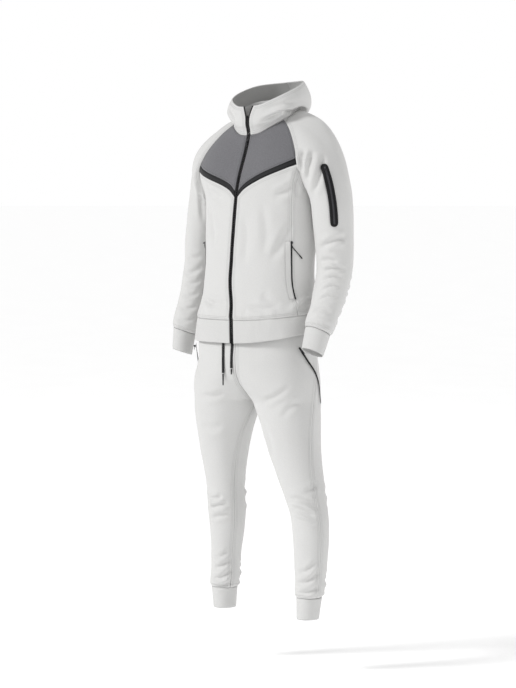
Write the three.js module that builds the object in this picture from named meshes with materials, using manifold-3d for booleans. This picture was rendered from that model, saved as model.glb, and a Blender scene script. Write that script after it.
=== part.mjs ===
// A worn tracksuit, standing as its wearer stood: a zip-up hooded jacket with raglan sleeves and
// a dark chest yoke, over cuffed joggers. Every piece of cloth is an open wall, hollow inside.
// Millimetres, +Z up, the front faces -Y and the wearer's left is +X. Heights in the tables are
// above the ground that the wearer stands on. The origin is in the middle of the neck opening.
import * as THREE from "three";
import { mergeVertices } from "three/addons/utils/BufferGeometryUtils.js";
import Module from "manifold-3d";

const wasm = await Module();
wasm.setup();

const NECK_HEIGHT = 1560; // the origin's height above the ground
const CLOTH = 2.4; // thickness of the double-knit cloth
const GAP = 0.3; // between two pieces that meet at a seam
const DEGREE = Math.PI / 180;

const cloth = (color) => new THREE.MeshStandardMaterial({ color, roughness: 0.92, metalness: 0 });
const hard = (color) => new THREE.MeshStandardMaterial({ color, roughness: 0.45, metalness: 0.1 });
const GREY = cloth(0xd6d5d2);
const YOKE_GREY = cloth(0x6e6d73);
const BLACK = cloth(0x141416);
const ZIP_GREY = cloth(0x4a4a4e);
const TRIM = hard(0x1a1a1c);

const point = (x, y, z) => new THREE.Vector3(x, y, z);
const mix = (a, b, t) => a + (b - a) * t;
const smooth = (t) => t * t * (3 - 2 * t);
const clamp = (t, low, high) => Math.min(high, Math.max(low, t));
const shares = (count) => Array.from({ length: count + 1 }, (_, i) => i / count);
const roundShares = (count) => Array.from({ length: count }, (_, i) => i / count);
const SIDES = [["left", 1], ["right", -1]];

// A table read as one smooth curve for each column: the first entry of a row is its place.
function table(names, rows) {
  const at = rows.map((row) => row[0]);
  const slope = (column, i) => {
    const a = Math.max(i - 1, 0);
    const b = Math.min(i + 1, rows.length - 1);
    return (rows[b][column] - rows[a][column]) / (at[b] - at[a]);
  };
  return (place) => {
    const x = clamp(place, at[0], at.at(-1));
    let i = 0;
    while (i < rows.length - 2 && x > at[i + 1]) i += 1;
    const width = at[i + 1] - at[i];
    const t = (x - at[i]) / width;
    const read = {};
    names.forEach((name, n) => {
      const c = n + 1;
      read[name] =
        rows[i][c] * (1 + 2 * t) * (1 - t) ** 2 +
        slope(c, i) * width * t * (1 - t) ** 2 +
        rows[i + 1][c] * t * t * (3 - 2 * t) +
        slope(c, i + 1) * width * t * t * (t - 1);
    });
    return read;
  };
}

function hermite(start, leave, end, arrive, t) {
  return point(0, 0, 0)
    .addScaledVector(start, (1 + 2 * t) * (1 - t) ** 2)
    .addScaledVector(leave, t * (1 - t) ** 2)
    .addScaledVector(end, t * t * (3 - 2 * t))
    .addScaledVector(arrive, t * t * (t - 1));
}

// Distance from the middle to a rounded ring, in the direction of an angle from its front.
function ringRadius(angle, side, front, back, squareness) {
  const across = Math.abs(Math.sin(angle)) / side;
  const along = Math.abs(Math.cos(angle)) / (Math.cos(angle) > 0 ? front : back);
  return (across ** squareness + along ** squareness) ** (-1 / squareness);
}

// A chart is a surface of two numbers, with the way out at each of its points.
function chart(at, stepA, stepB, sign, lowB = -Infinity, highB = Infinity) {
  const out = (a, b) => {
    const across = at(a + stepA, b).sub(at(a - stepA, b));
    const along = at(a, Math.min(b + stepB, highB)).sub(at(a, Math.max(b - stepB, lowB)));
    return across.cross(along).multiplyScalar(sign).normalize();
  };
  return { at, out };
}

// Pieces of cloth wait here as grids of outer points until all of them are known.
const pieces = [];
function piece(name, surface, rows, columns, place, options = {}) {
  const grid = rows.map((v) => columns.map((u) => place(u, v)));
  pieces.push({
    name,
    outer: grid.map((row) => row.map(([a, b]) => surface.at(a, b))),
    outwards: grid.map((row) => row.map(([a, b]) => surface.out(a, b))),
    material: GREY,
    closed: false,
    lift: -CLOTH,
    thickness: CLOTH,
    gap: GAP / 2,
    ...options,
  });
}

// The jacket's body
const HEM = 936;
const HEM_SEAM = 1001;
const ARMPIT = 1352;
const bodyRing = table(
  // half width, reach to the front and back, middle across and along, turn to the wearer's
  // right and the zip's own wander (degrees)
  ["side", "front", "back", "x", "y", "turn", "zip"],
  [
    [930, 193, 138, 132, -15, 2, 2, -0.4],
    [1001, 188, 134, 130, -13, 2, 4, -1],
    [1050, 179, 130, 124, -11, 2, 6, -1],
    [1104, 171, 126, 117, -12, 2, 8, -2.6],
    [1175, 170, 122, 110, -9, 3, 9, -2.4],
    [1270, 174, 122, 116, -6, 5, 9, -1],
    [1352, 180, 122, 124, -1, 8, 9, 0],
  ],
);
const SQUARE_BODY = 2.2;
const SHOULDER_TILT = 0.085; // rise of the left shoulder over the right, for each mm across
const UPPER = 240; // length of the chart's upper part, from the armpit to the neck seam
const NECK = { side: 92, front: 92, back: 80, x: 8, y: 16, turn: 5 };
const neckRise = table(["height"], [
  [0, 1523], [20, 1526], [40, 1541], [65, 1561], [95, 1584], [130, 1594], [180, 1596],
]);
const tilt = (height) => SHOULDER_TILT * smooth(clamp((height - 1120) / 260, 0, 1));
// The hem rides up a little over the left hip.
const rideUp = (height, across) => 20 * (Math.max(across, 0) / 160) ** 2 * smooth(clamp((1090 - height) / 150, 0, 1));

function placeOnRing(angle, radius, ring, height) {
  const across = radius * Math.sin(angle);
  const along = -radius * Math.cos(angle);
  const turn = ring.turn * DEGREE;
  const x = across * Math.cos(turn) + along * Math.sin(turn);
  const y = -across * Math.sin(turn) + along * Math.cos(turn);
  return point(x + ring.x, y + ring.y, height + tilt(height) * across + rideUp(height, across));
}

function lowerBody(angle, height) {
  const ring = bodyRing(height);
  const radius = ringRadius(angle, ring.side, ring.front, ring.back, SQUARE_BODY);
  return placeOnRing(angle, radius, ring, height);
}

const degreesRound = (angle) => {
  const full = (((angle / DEGREE) % 360) + 360) % 360;
  return full > 180 ? 360 - full : full;
};

function neckSeam(angle) {
  const radius = ringRadius(angle, NECK.side, NECK.front, NECK.back, 2.1);
  return placeOnRing(angle, radius, NECK, neckRise(degreesRound(angle)).height);
}

// How the cloth arrives at the neck seam, inwards and upwards, for each direction in degrees.
const arrival = table(["inwards", "up"], [
  [0, 25, 165], [60, 190, 110], [90, 270, 60], [120, 190, 120], [180, 60, 190],
]);

// The front of each shoulder stands out from that, most at a third of the way up.
const flareUp = (climb) => smooth(clamp(climb < 90 ? climb / 90 : (235 - climb) / 145, 0, 1));
const flareRound = (degrees) => smooth(clamp(degrees < 64 ? (degrees - 12) / 52 : (125 - degrees) / 61, 0, 1));

// An angle round the body, and a climb that is 0 at the armpit, negative below it in
// millimetres, and UPPER at the neck seam.
function bodyAt(angle, climb) {
  if (climb <= 0) return lowerBody(angle, ARMPIT + climb);
  const start = lowerBody(angle, ARMPIT);
  const leave = start.clone().sub(lowerBody(angle, ARMPIT - 10)).multiplyScalar((UPPER / 10) * 0.8);
  const way = arrival(degreesRound(angle));
  const turn = angle - NECK.turn * DEGREE;
  const arrive = point(-Math.sin(turn) * way.inwards, Math.cos(turn) * way.inwards, way.up);
  const flare = 30 * flareUp(climb) * flareRound(degreesRound(angle));
  return hermite(start, leave, neckSeam(angle), arrive, climb / UPPER)
    .add(point(Math.sin(turn) * flare, -Math.cos(turn) * flare, 0));
}
const body = chart(bodyAt, 0.004, 1, 1, -500, UPPER);

// Seams of the jacket: degrees from the front for each climb.
const raglanFront = table(["angle"], [[0, 82], [40, 72], [84, 65], [150, 63], [200, 64], [240, 65]]);
const raglanBack = table(["angle"], [[0, 98], [40, 106], [90, 114], [150, 120], [200, 123], [240, 124]]);
const sideFront = table(["angle"], [[-420, 71], [-351, 71.5], [-288, 72.5], [-128, 70.5], [0, 67], [84, 65]]);
const sideBack = table(["angle"], [[-420, 118], [-351, 118], [-200, 112], [-60, 102], [0, 98]]);
const seamAngle = (seam, climb) => seam(climb).angle * DEGREE;

const HALF_ZIP = 6.2; // from the middle of the zip to the edge of the front
function frontAngle(climb, away) {
  const centre = climb > 0 ? 0 : bodyRing(ARMPIT + climb).zip * DEGREE;
  const here = bodyAt(centre, climb);
  const beside = bodyAt(centre + 0.02, climb);
  return centre + (away / here.distanceTo(beside)) * 0.02;
}

// The chest tape: its lower edge climbs from the zip to the raglan seam, steeper near the zip.
const TAPE_WIDTH = 17.5;
const TAPE_START = -3;
const TAPE_END = 84;
const chevron = (share) => mix(TAPE_START, TAPE_END, share ** 0.66);
const tapeTop = (share) => chevron(share) + TAPE_WIDTH * mix(1.24, 1, share ** 1.5);
const TAPE_TOP_END = tapeTop(1);
const HEM_CLIMB = HEM_SEAM - ARMPIT;
const bodyRows = [...shares(11).slice(0, -1).map((t) => t * 0.92), 0.9, 0.955, 1].sort((a, b) => a - b);

// A panel from the front edge to a seam, between two climbs that depend on the share across.
const acrossFront = (side, seam, low, high) => (u, v) => {
  const edge = frontAngle(mix(low(0), high(0), v), side * HALF_ZIP);
  const end = side * seamAngle(seam, mix(low(1), high(1), v));
  return [mix(edge, end, u), mix(low(u), high(u), v)];
};
const raglanFrontAt = (climb) => seamAngle(raglanFront, climb);
const seamClimbs = [
  ...[0, 1 / 3, 2 / 3, 1].map((t) => TAPE_END * t),
  ...[0, 1, 2, 3, 4].map((n) => mix(TAPE_TOP_END, UPPER, n / 4)),
];
const sideColumns = [0, 1 / 6, 1 / 3, 1 / 2, 3 / 4, 1];

for (const [name, side] of SIDES) {
  const lower = acrossFront(side, sideFront, () => HEM_CLIMB, chevron);
  piece(`jacket_front_${name}`, body, bodyRows, shares(8), lower);
  const tape = acrossFront(side, raglanFront, chevron, tapeTop);
  piece(`chest_tape_${name}`, body, [0, 1], shares(8), tape, { material: BLACK });
  const yoke = acrossFront(side, raglanFront, tapeTop, () => UPPER);
  piece(`yoke_${name}`, body, shares(4), shares(8), yoke, { material: YOKE_GREY });
  // The side panel's top follows the front raglan seam down to the underarm.
  const sideTop = (u) => TAPE_END * Math.max(1 - 2 * u, 0);
  piece(`jacket_side_${name}`, body, bodyRows, sideColumns, (u, v) => {
    const top = sideTop(u);
    const climb = mix(HEM_CLIMB, top, v);
    const from = seamAngle(sideFront, climb);
    const to = seamAngle(sideBack, Math.min(climb, 0));
    const topFrom = seamAngle(sideFront, top);
    const topAngle = u < 0.5 ? raglanFrontAt(top) : mix(82, 98, 2 * u - 1) * DEGREE;
    const topShare = (topAngle - topFrom) / (98 * DEGREE - topFrom);
    return [side * mix(from, to, mix(u, topShare, v * v)), climb];
  });
}
// The back runs from one side seam round to the other, and up between the raglan seams.
const backClimbs = [...bodyRows.map((t) => mix(HEM_CLIMB, 0, t)), ...seamClimbs.slice(1)];
piece("jacket_back", body, backClimbs, shares(12), (u, climb) => {
  const edge = climb <= 0 ? sideBack(climb).angle : raglanBack(climb).angle;
  return [mix(edge, 360 - edge, u) * DEGREE, climb];
});
// The hem band meets the panels above at their own columns.
function hemAngles(climb) {
  const steps = (from, to, count) => shares(count).slice(1).map((t) => mix(from, to, t));
  const full = 2 * Math.PI;
  const front = seamAngle(sideFront, HEM_CLIMB);
  const back = seamAngle(sideBack, HEM_CLIMB);
  const start = frontAngle(climb, HALF_ZIP);
  const end = frontAngle(climb, -HALF_ZIP) + full;
  return [
    start,
    ...steps(start, front, 8),
    ...sideColumns.slice(1).map((t) => mix(front, back, t)),
    ...steps(back, full - back, 12),
    ...[...sideColumns].reverse().slice(1).map((t) => full - mix(front, back, t)),
    ...steps(full - front, end, 8),
  ];
}
const hemColumns = hemAngles(HEM_CLIMB).map((_, i) => i);
piece("hem_band", body, shares(3), hemColumns, (u, v) => {
  const climb = mix(HEM - ARMPIT, HEM_CLIMB, v);
  return [hemAngles(climb)[u], climb];
});

// The sleeves
const ARMS = {
  // middle across, along and up, half width across and along the front, turn in degrees
  left: table(["x", "y", "height", "across", "deep", "turn"], [
    [0, 238, -13, 1312, 56, 68, 0],
    [1, 243, -11, 1240, 53, 59, 4],
    [2, 245, -10, 1150, 48, 50, 8],
    [3, 237, -33, 1066, 46, 46, 14],
    [3.7, 229, -58, 1010, 44, 44, 18],
    [4.1, 225, -70, 986, 43, 43, 18],
    [4.3, 223, -75, 975, 38, 38, 18],
  ]),
  right: table(["x", "y", "height", "across", "deep", "turn"], [
    [0, -226, 72, 1304, 54, 66, 0],
    [1, -236, 66, 1236, 52, 58, -4],
    [2, -240, 56, 1150, 47, 50, -8],
    [3, -244, 36, 1066, 45, 47, -10],
    [3.7, -250, 18, 1004, 44, 46, -12],
    [4.1, -259, 9, 972, 43, 46, -12],
    [4.3, -263, 6, 957, 34, 40, -12],
  ]),
};
const SLEEVE_END = 4.3;
const CUFF_LENGTH = 62;
const CUFF_FALL = { left: point(-0.12, -0.28, -0.95), right: point(-0.1, -0.06, -0.99) };

function armFrame(name, step) {
  const arm = ARMS[name];
  const here = arm(step);
  const before = arm(Math.max(step - 0.15, 0));
  const after = arm(Math.min(step + 0.15, SLEEVE_END));
  const down = point(after.x - before.x, after.y - before.y, after.height - before.height).normalize();
  const turn = here.turn * DEGREE;
  const forward = point(-Math.sin(turn), -Math.cos(turn), 0);
  forward.addScaledVector(down, -forward.dot(down)).normalize();
  const outward = forward.clone().cross(down).normalize();
  if (outward.x < 0) outward.negate();
  return { here, down, forward, outward };
}

// A point on an arm's ring: the share runs from the underarm over the front, outside and back.
function armRing(name, side, share, step, narrower = 1) {
  const { here, forward, outward } = armFrame(name, step);
  const angle = share * 2 * Math.PI;
  const across = -Math.cos(angle) * here.across * narrower * side;
  const along = Math.sin(angle) * here.deep * narrower;
  return point(here.x, here.y, here.height)
    .addScaledVector(outward, across)
    .addScaledVector(forward, along);
}

// The armhole: shares of the sleeve's edge along the underarm, the front raglan seam, the neck
// seam and the back raglan seam.
const UNDERARM = 0.035;
const NECKLINE = 0.455;
const wrap = (share) => ((share % 1) + 1) % 1;
function armhole(side, share) {
  const s = wrap(share);
  const seam = s <= 0.5 ? raglanFront : raglanBack;
  const half = s <= 0.5 ? s : 1 - s;
  if (half < UNDERARM) return bodyAt(side * mix(90, seam(0).angle, half / UNDERARM) * DEGREE, 0);
  if (half <= NECKLINE) {
    const climb = (UPPER * (half - UNDERARM)) / (NECKLINE - UNDERARM);
    return bodyAt(side * seam(climb).angle * DEGREE, climb);
  }
  const middle = (raglanFront(UPPER).angle + raglanBack(UPPER).angle) / 2;
  const t = (half - NECKLINE) / (0.5 - NECKLINE);
  return bodyAt(side * mix(seam(UPPER).angle, middle, t) * DEGREE, UPPER);
}

// How the cloth leaves the armhole, and how far the ring below draws it on, by the share from
// the underarm (0) to the neck (0.5).
const leaving = table(["outwards", "down", "spread", "drawn"], [
  [0, 40, 60, 0, 60],
  [0.12, 90, 90, 20, 90],
  [0.25, 210, 50, 40, 170],
  [0.38, 330, 15, 30, 310],
  [0.5, 350, 25, 0, 390],
]);
const SHOULDER_PART = 0.42; // share of the sleeve's chart above its first ring
function sleeveAt(name, side) {
  return (share, v) => {
    if (v >= SHOULDER_PART) {
      return armRing(name, side, share, (SLEEVE_END * (v - SHOULDER_PART)) / (1 - SHOULDER_PART));
    }
    const s = wrap(share);
    const front = s <= 0.5 ? -1 : 1;
    const way = leaving(s <= 0.5 ? s : 1 - s);
    const leave = point(side * way.outwards, front * way.spread, -way.down);
    const arrive = armFrame(name, 0).down.clone().multiplyScalar(way.drawn);
    return hermite(armhole(side, s), leave, armRing(name, side, s, 0), arrive, v / SHOULDER_PART);
  };
}
const climbShare = (climb) => UNDERARM + (climb / UPPER) * (NECKLINE - UNDERARM);
const frontShares = seamClimbs.map(climbShare);
const sleeveColumns = [0, ...frontShares, 0.5, ...frontShares.map((s) => 1 - s).reverse()];
const sleeveRows = [
  ...shares(6).map((t) => t * SHOULDER_PART),
  ...shares(11).slice(1).map((t) => mix(SHOULDER_PART, 1, t)),
];
const sleeves = {};
for (const [name, side] of SIDES) {
  sleeves[name] = chart(sleeveAt(name, side), 0.002, 0.004, -side, 0, 1);
  piece(`sleeve_${name}`, sleeves[name], sleeveRows, sleeveColumns, (u, v) => [u, v], { closed: true });
  const cuff = chart((share, v) => {
    const fall = CUFF_FALL[name].clone().multiplyScalar(v * CUFF_LENGTH + GAP);
    return armRing(name, side, share, SLEEVE_END, mix(0.985, 0.87, v)).add(fall);
  }, 0.002, 0.01, -side, 0, 1);
  piece(`cuff_${name}`, cuff, shares(2), roundShares(20), (u, v) => [u, v], { closed: true });
}

// The hood, worn down: a collar in front, a bag behind. Outwards (o) and up (u) from the neck
// seam, step by step to the rim, for each direction in degrees from the front.
const HOOD_STEPS = 9;
const hoodNames = shares(HOOD_STEPS - 1).flatMap((_, i) => [`o${i + 1}`, `u${i + 1}`]);
const hoodSection = table(hoodNames, [
  [0, 1, 9, 3, 18, 6, 25, 7, 33, 7, 42, 6, 52, 5, 62, 4, 72, 2, 83],
  [40, 1, 9, 4, 17, 9, 22, 12, 29, 13, 38, 12, 48, 10, 58, 8, 67, 5, 77],
  [65, 1, 10, 4, 17, 10, 20, 17, 23, 22, 30, 23, 40, 20, 51, 15, 62, 8, 74],
  [95, 0, 14, 4, 22, 11, 22, 17, 15, 23, 17, 27, 28, 26, 42, 21, 56, 12, 70],
  [130, -1, 20, 4, 30, 12, 22, 21, 2, 30, -6, 38, 6, 38, 32, 29, 56, 16, 77],
  [180, -2, 24, 6, 34, 20, 14, 34, -26, 48, -44, 60, -28, 60, 6, 46, 46, 24, 79],
]);
function hoodAt(angle, t) {
  const read = hoodSection(degreesRound(angle));
  const path = [[0, 0]];
  for (let i = 1; i <= HOOD_STEPS; i += 1) path.push([read[`o${i}`], read[`u${i}`]]);
  const place = clamp(t, 0, 1) * HOOD_STEPS;
  const i = Math.min(Math.floor(place), HOOD_STEPS - 1);
  const f = place - i;
  const near = [path[Math.max(i - 1, 0)], path[i], path[i + 1], path[Math.min(i + 2, HOOD_STEPS)]];
  const along = (n) => {
    const [a, b, c, d] = near.map((p) => p[n]);
    return b + 0.5 * f * (c - a + f * (2 * a - 5 * b + 4 * c - d + f * (3 * (b - c) + d - a)));
  };
  const turn = angle - NECK.turn * DEGREE;
  const outwards = along(0);
  return neckSeam(angle).add(point(Math.sin(turn) * outwards, -Math.cos(turn) * outwards, along(1)));
}
const hood = chart(hoodAt, 0.004, 0.01, 1, 0, 1);
const OPEN_FROM = 0.6; // the zip stands open above this share of the collar
const openZip = (t) => 11 * clamp((t - OPEN_FROM) / (1 - OPEN_FROM), 0, 1) ** 1.3;
const hoodRows = shares(12);
for (const [name, side] of SIDES) {
  const seam = raglanFront(UPPER).angle;
  const backSeam = raglanBack(UPPER).angle;
  const stops = (t) => {
    const edge = side * frontAngle(UPPER, side * HALF_ZIP) + openZip(t) / NECK.front;
    return [
      ...shares(8).map((u) => mix(edge, seam * DEGREE, u)),
      ...[0.5, 1].map((u) => mix(seam, backSeam, u) * DEGREE),
      ...shares(6).slice(1).map((u) => mix(backSeam, 180, u) * DEGREE),
    ];
  };
  const columns = stops(0).map((_, i) => i);
  piece(`hood_${name}`, hood, hoodRows, columns, (u, v) => [side * stops(v)[u], v]);
}

// The joggers
const MIDDLE = -14; // the plane between the legs
const CROTCH = 766;
const TROUSER_TOP = 985;
const WAIST_TOP = 1027;
// Above the crotch: how far apart the two rings stand (1 just touches the middle plane), the
// middle along, reach to the front and back, half width of each side.
const trunk = table(["apart", "y", "front", "back", "left", "right"], [
  [766, 1.004, 2, 104, 112, 95, 98],
  [774, 0.965, 2, 107, 114, 96.5, 99.7],
  [790, 0.86, 2, 114, 118, 102, 105],
  [815, 0.62, 2, 122, 124, 117, 120],
  [845, 0.28, 2, 128, 128, 148, 150],
  [875, 0.0, 2, 131, 130, 187, 187],
  [925, 0.0, 2, 130, 130, 187, 187],
  [960, 0.0, 2, 126, 125.2, 183, 183],
  [1027, 0.0, 2, 118, 116, 172, 172],
]);
// Below it: each leg's middle across and along, half width, reach to the front and back.
const LEGS = {
  left: table(["x", "y", "side", "front", "back"], [
    [140, 169, -35, 34, 36, 36],
    [216, 175, -35, 39, 41, 41],
    [242, 178, -36, 44, 46, 46],
    [290, 181, -37, 46, 49, 49],
    [332, 183, -38, 49, 52, 50],
    [398, 185, -42, 53, 56, 54],
    [447, 181, -42, 55, 59, 56],
    [486, 169, -40, 58, 63, 60],
    [579, 136, -26, 68, 75, 74],
    [650, 114, -16, 77, 86, 86],
    [715, 97, -8, 87, 95, 99],
    [766, 81.4, 2, 95, 104, 112],
  ]),
  right: table(["x", "y", "side", "front", "back"], [
    [140, -151, 46, 35, 37, 37],
    [214, -149, 41, 39, 41, 41],
    [242, -146, 40, 43, 44, 44],
    [290, -141, 36, 43, 46, 46],
    [332, -137, 32, 46, 49, 48],
    [398, -130, 25, 54, 56, 55],
    [464, -129, 18, 57, 60, 58],
    [513, -130, 15, 55, 60, 58],
    [590, -129, 10, 64, 70, 70],
    [667, -126, 6, 77, 84, 84],
    [715, -121, 3, 87, 93, 98],
    [766, -112.4, 2, 98, 104, 112],
  ]),
};
const ANKLE_SEAM = { left: 216, right: 214 };
const ANKLE_HEM = { left: 153, right: 152 };
const SQUARE_LEG = 2.15;

// An angle from the inner side over the front to the outside and back, and a height.
function legRing(name, side, height) {
  if (height <= CROTCH) return LEGS[name](height);
  const read = trunk(height);
  const wide = read[name];
  return { x: MIDDLE + side * read.apart * wide, y: read.y, side: wide, front: read.front, back: read.back };
}
function legAt(name, side) {
  return (angle, height) => {
    const ring = legRing(name, side, height);
    const radius = ringRadius(angle - 90 * DEGREE, ring.side, ring.front, ring.back, SQUARE_LEG);
    return point(ring.x - side * Math.cos(angle) * radius, ring.y - Math.sin(angle) * radius, height);
  };
}
// The angle at which a ring above the crotch reaches the middle plane, in front or behind.
function atMiddle(name, side, height, behind) {
  const at = legAt(name, side);
  let clear = behind ? 240 * DEGREE : 120 * DEGREE;
  let past = behind ? 360 * DEGREE : 0;
  const beyond = (angle) => side * (at(angle, height).x - MIDDLE) < GAP / 2;
  if (!beyond(past)) return past;
  for (let i = 0; i < 40; i += 1) {
    const half = (clear + past) / 2;
    if (beyond(half)) past = half;
    else clear = half;
  }
  return clear;
}
// Where the seams of a leg run, in degrees: the inner seam, and the outer one.
const inSeam = {
  left: table(["angle"], [[150, -24], [500, -22], [650, -12], [766, 0]]),
  right: table(["angle"], [[150, 38], [500, 36], [650, 26], [715, 14], [766, 0]]),
};
const outSeam = {
  left: table(["angle"], [[150, 152], [400, 150], [526, 148], [650, 158], [772, 172], [850, 180], [1030, 180]]),
  right: table(["angle"], [[150, 206], [400, 206], [526, 204], [650, 196], [772, 184], [850, 180], [1030, 180]]),
};
const innerFront = (name, side, height) =>
  height <= CROTCH ? inSeam[name](height).angle * DEGREE : atMiddle(name, side, height, false);
const innerBack = (name, side, height) =>
  height <= CROTCH ? (360 + inSeam[name](height).angle) * DEGREE : atMiddle(name, side, height, true);
const legs = {};
for (const [name, side] of SIDES) {
  legs[name] = chart(legAt(name, side), 0.004, 1, side, ANKLE_SEAM[name], WAIST_TOP);
  const low = ANKLE_SEAM[name];
  const rows = [
    low, low + 14, low + 34, low + 60, 330, 372, 412, 448, 482, 520, 570, 625, 680, 725, 750, CROTCH,
    774, 786, 803, 826, 850, 880, 920, 955, TROUSER_TOP,
  ];
  const out = (h) => outSeam[name](h).angle * DEGREE;
  // Above the crotch the columns give way to the middle plane, the nearest ones most.
  const spread = (from, to, inner, u) => {
    const shift = inner - from;
    const fade = mix(4, 1.5, Math.min(Math.abs(shift) / (90 * DEGREE), 1));
    return mix(from, to, u) + shift * (1 - u) ** fade;
  };
  const front = (u, h) => [spread(h > CROTCH ? 0 : innerFront(name, side, h), out(h), innerFront(name, side, h), u), h];
  const full = 2 * Math.PI;
  const back = (u, h) => [spread(h > CROTCH ? full : innerBack(name, side, h), out(h), innerBack(name, side, h), 1 - u), h];
  piece(`leg_front_${name}`, legs[name], rows, shares(7), front);
  piece(`leg_back_${name}`, legs[name], rows, shares(7), back);
  const hem = ANKLE_HEM[name];
  const cuff = chart((angle, h) => {
    const ring = LEGS[name](h);
    const narrow = mix(0.93, 0.97, (h - hem) / (low - hem));
    const across = -side * Math.cos(angle) * ring.side * narrow;
    return point(ring.x + across, ring.y - Math.sin(angle) * ring.front * narrow, h);
  }, 0.004, 1, side, hem, low);
  const cuffRows = [hem, (hem + low) / 2, low - GAP];
  piece(`ankle_cuff_${name}`, cuff, cuffRows, roundShares(20), (u, h) => [u * 2 * Math.PI, h], { closed: true });
}
const waist = chart((angle, height) => {
  const read = trunk(height);
  const radius = ringRadius(angle, read.left, read.front, read.back, SQUARE_LEG);
  return point(MIDDLE + Math.sin(angle) * radius, read.y - Math.cos(angle) * radius, height);
}, 0.004, 1, 1, TROUSER_TOP, WAIST_TOP);
const waistRows = [TROUSER_TOP + GAP, (TROUSER_TOP + WAIST_TOP) / 2, WAIST_TOP];
piece("waistband", waist, waistRows, roundShares(28), (u, h) => [u * 2 * Math.PI, h], { closed: true });

// The front zip's line: climbs on the body, then hundredths of the collar.
const frontLine = chart((away, place) => {
  if (place <= UPPER) return bodyAt(frontAngle(place, away), place);
  const t = (place - UPPER) / 100;
  const angle = frontAngle(UPPER, away) + (Math.sign(away) * openZip(t)) / NECK.front;
  return hoodAt(angle, t);
}, 0.05, 1, 1, HEM - ARMPIT, UPPER + 100);
const zipRows = [
  ...shares(3).map((t) => mix(HEM - ARMPIT, HEM_CLIMB, t)),
  ...bodyRows.slice(1).map((t) => mix(HEM_CLIMB, chevron(0), t)),
  tapeTop(0),
  ...shares(4).slice(1).map((t) => mix(tapeTop(0), UPPER, t)),
  ...hoodRows.slice(1).map((t) => UPPER + 100 * t),
];
const tapeLook = { material: BLACK, lift: -2.1, thickness: 1.3 };
piece("zip_tape_left", frontLine, zipRows, [1.9, HALF_ZIP], (u, v) => [u, v], tapeLook);
piece("zip_tape_right", frontLine, zipRows, [-HALF_ZIP, -1.9], (u, v) => [u, v], tapeLook);
const SLIDER_CLIMB = 214;
const chainRows = [...zipRows.filter((v) => v < SLIDER_CLIMB - 8), SLIDER_CLIMB - 4];
const chainLook = { material: ZIP_GREY, lift: -2.1, thickness: 2.2 };
piece("zip_chain", frontLine, chainRows, [-1.7, 1.7], (u, v) => [u, v], chainLook);

// A strip that lies on a piece of cloth: along a line of the chart, with its half width at each
// place along. Its points are the cloth's own, moved out.
function strip(name, surface, line, halfWidth, rows, lift, thickness, material) {
  const grid = rows.map((t) => {
    const at = line(t);
    const ahead = line(Math.min(t + 0.01, 1));
    const behind = line(Math.max(t - 0.01, 0));
    const along = surface.at(...ahead).sub(surface.at(...behind)).normalize();
    const out = surface.out(...at);
    const across = along.clone().cross(out).normalize();
    const half = halfWidth(t);
    return [-1, 0, 1].map((share) => onCloth(surface, at, across, share * half));
  });
  pieces.push({
    name,
    outer: grid.map((row) => row.map((r) => r.point)),
    outwards: grid.map((row) => row.map((r) => r.out)),
    material,
    closed: false,
    lift,
    thickness,
    gap: 0,
    loose: true,
  });
}
// Walks from a place on the chart in a direction across the cloth, by a distance.
function onCloth(surface, place, way, distance) {
  const [a, b] = place;
  const here = surface.at(a, b);
  const stepA = 0.002;
  const stepB = Math.abs(b) > 2 ? 0.5 : 0.002;
  const alongA = surface.at(a + stepA, b).sub(here).divideScalar(stepA);
  const alongB = surface.at(a, b - stepB).sub(here).divideScalar(-stepB);
  // Solve way * distance = da * alongA + db * alongB in the cloth's own plane.
  const [aa, ab, bb] = [alongA.dot(alongA), alongA.dot(alongB), alongB.dot(alongB)];
  const [wa, wb] = [way.dot(alongA) * distance, way.dot(alongB) * distance];
  const scale = aa * bb - ab * ab;
  const da = (wa * bb - wb * ab) / scale;
  const db = (wb * aa - wa * ab) / scale;
  return { point: surface.at(a + da, b + db), out: surface.out(a + da, b + db) };
}
const rounded = (t, half, length) => {
  const end = Math.min(t, 1 - t) * length;
  return end >= half ? half : Math.max(Math.sqrt(Math.max(half * half - (half - end) ** 2, 0)), half * 0.35);
};
const endRows = (half, length, count) => {
  const near = [0, 0.13, 0.4, 1].map((n) => (n * half) / length);
  const inner = shares(count).slice(1, -1).map((t) => mix(near[3], 1 - near[3], t));
  return [...near, ...inner, ...[...near].reverse().map((t) => 1 - t)];
};
const lineOn = (stops) => (t) => [mix(stops[0][0], stops[1][0], t), mix(stops[0][1], stops[1][1], t)];

// The side pockets, on the seam between front and side: a welt, and a zip behind it.
const POCKET_TOP = -130;
const POCKET_LOW = -292;
const bodyRadius = 150;
const pocketLine = (side, away) => (t) => {
  const climb = mix(POCKET_TOP, POCKET_LOW, t);
  return [side * (seamAngle(sideFront, climb) + away / bodyRadius), climb];
};
// The sleeve pocket, down the front of the left sleeve's outside.
const sleevePocketLine = lineOn([[0.34, 0.221], [0.346, 0.505]]);
// The joggers' side pockets, slanting back from under the hem.
const legPocketLine = (name) => lineOn([[160 * DEGREE, 926], [199 * DEGREE, 762]]);

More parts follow.
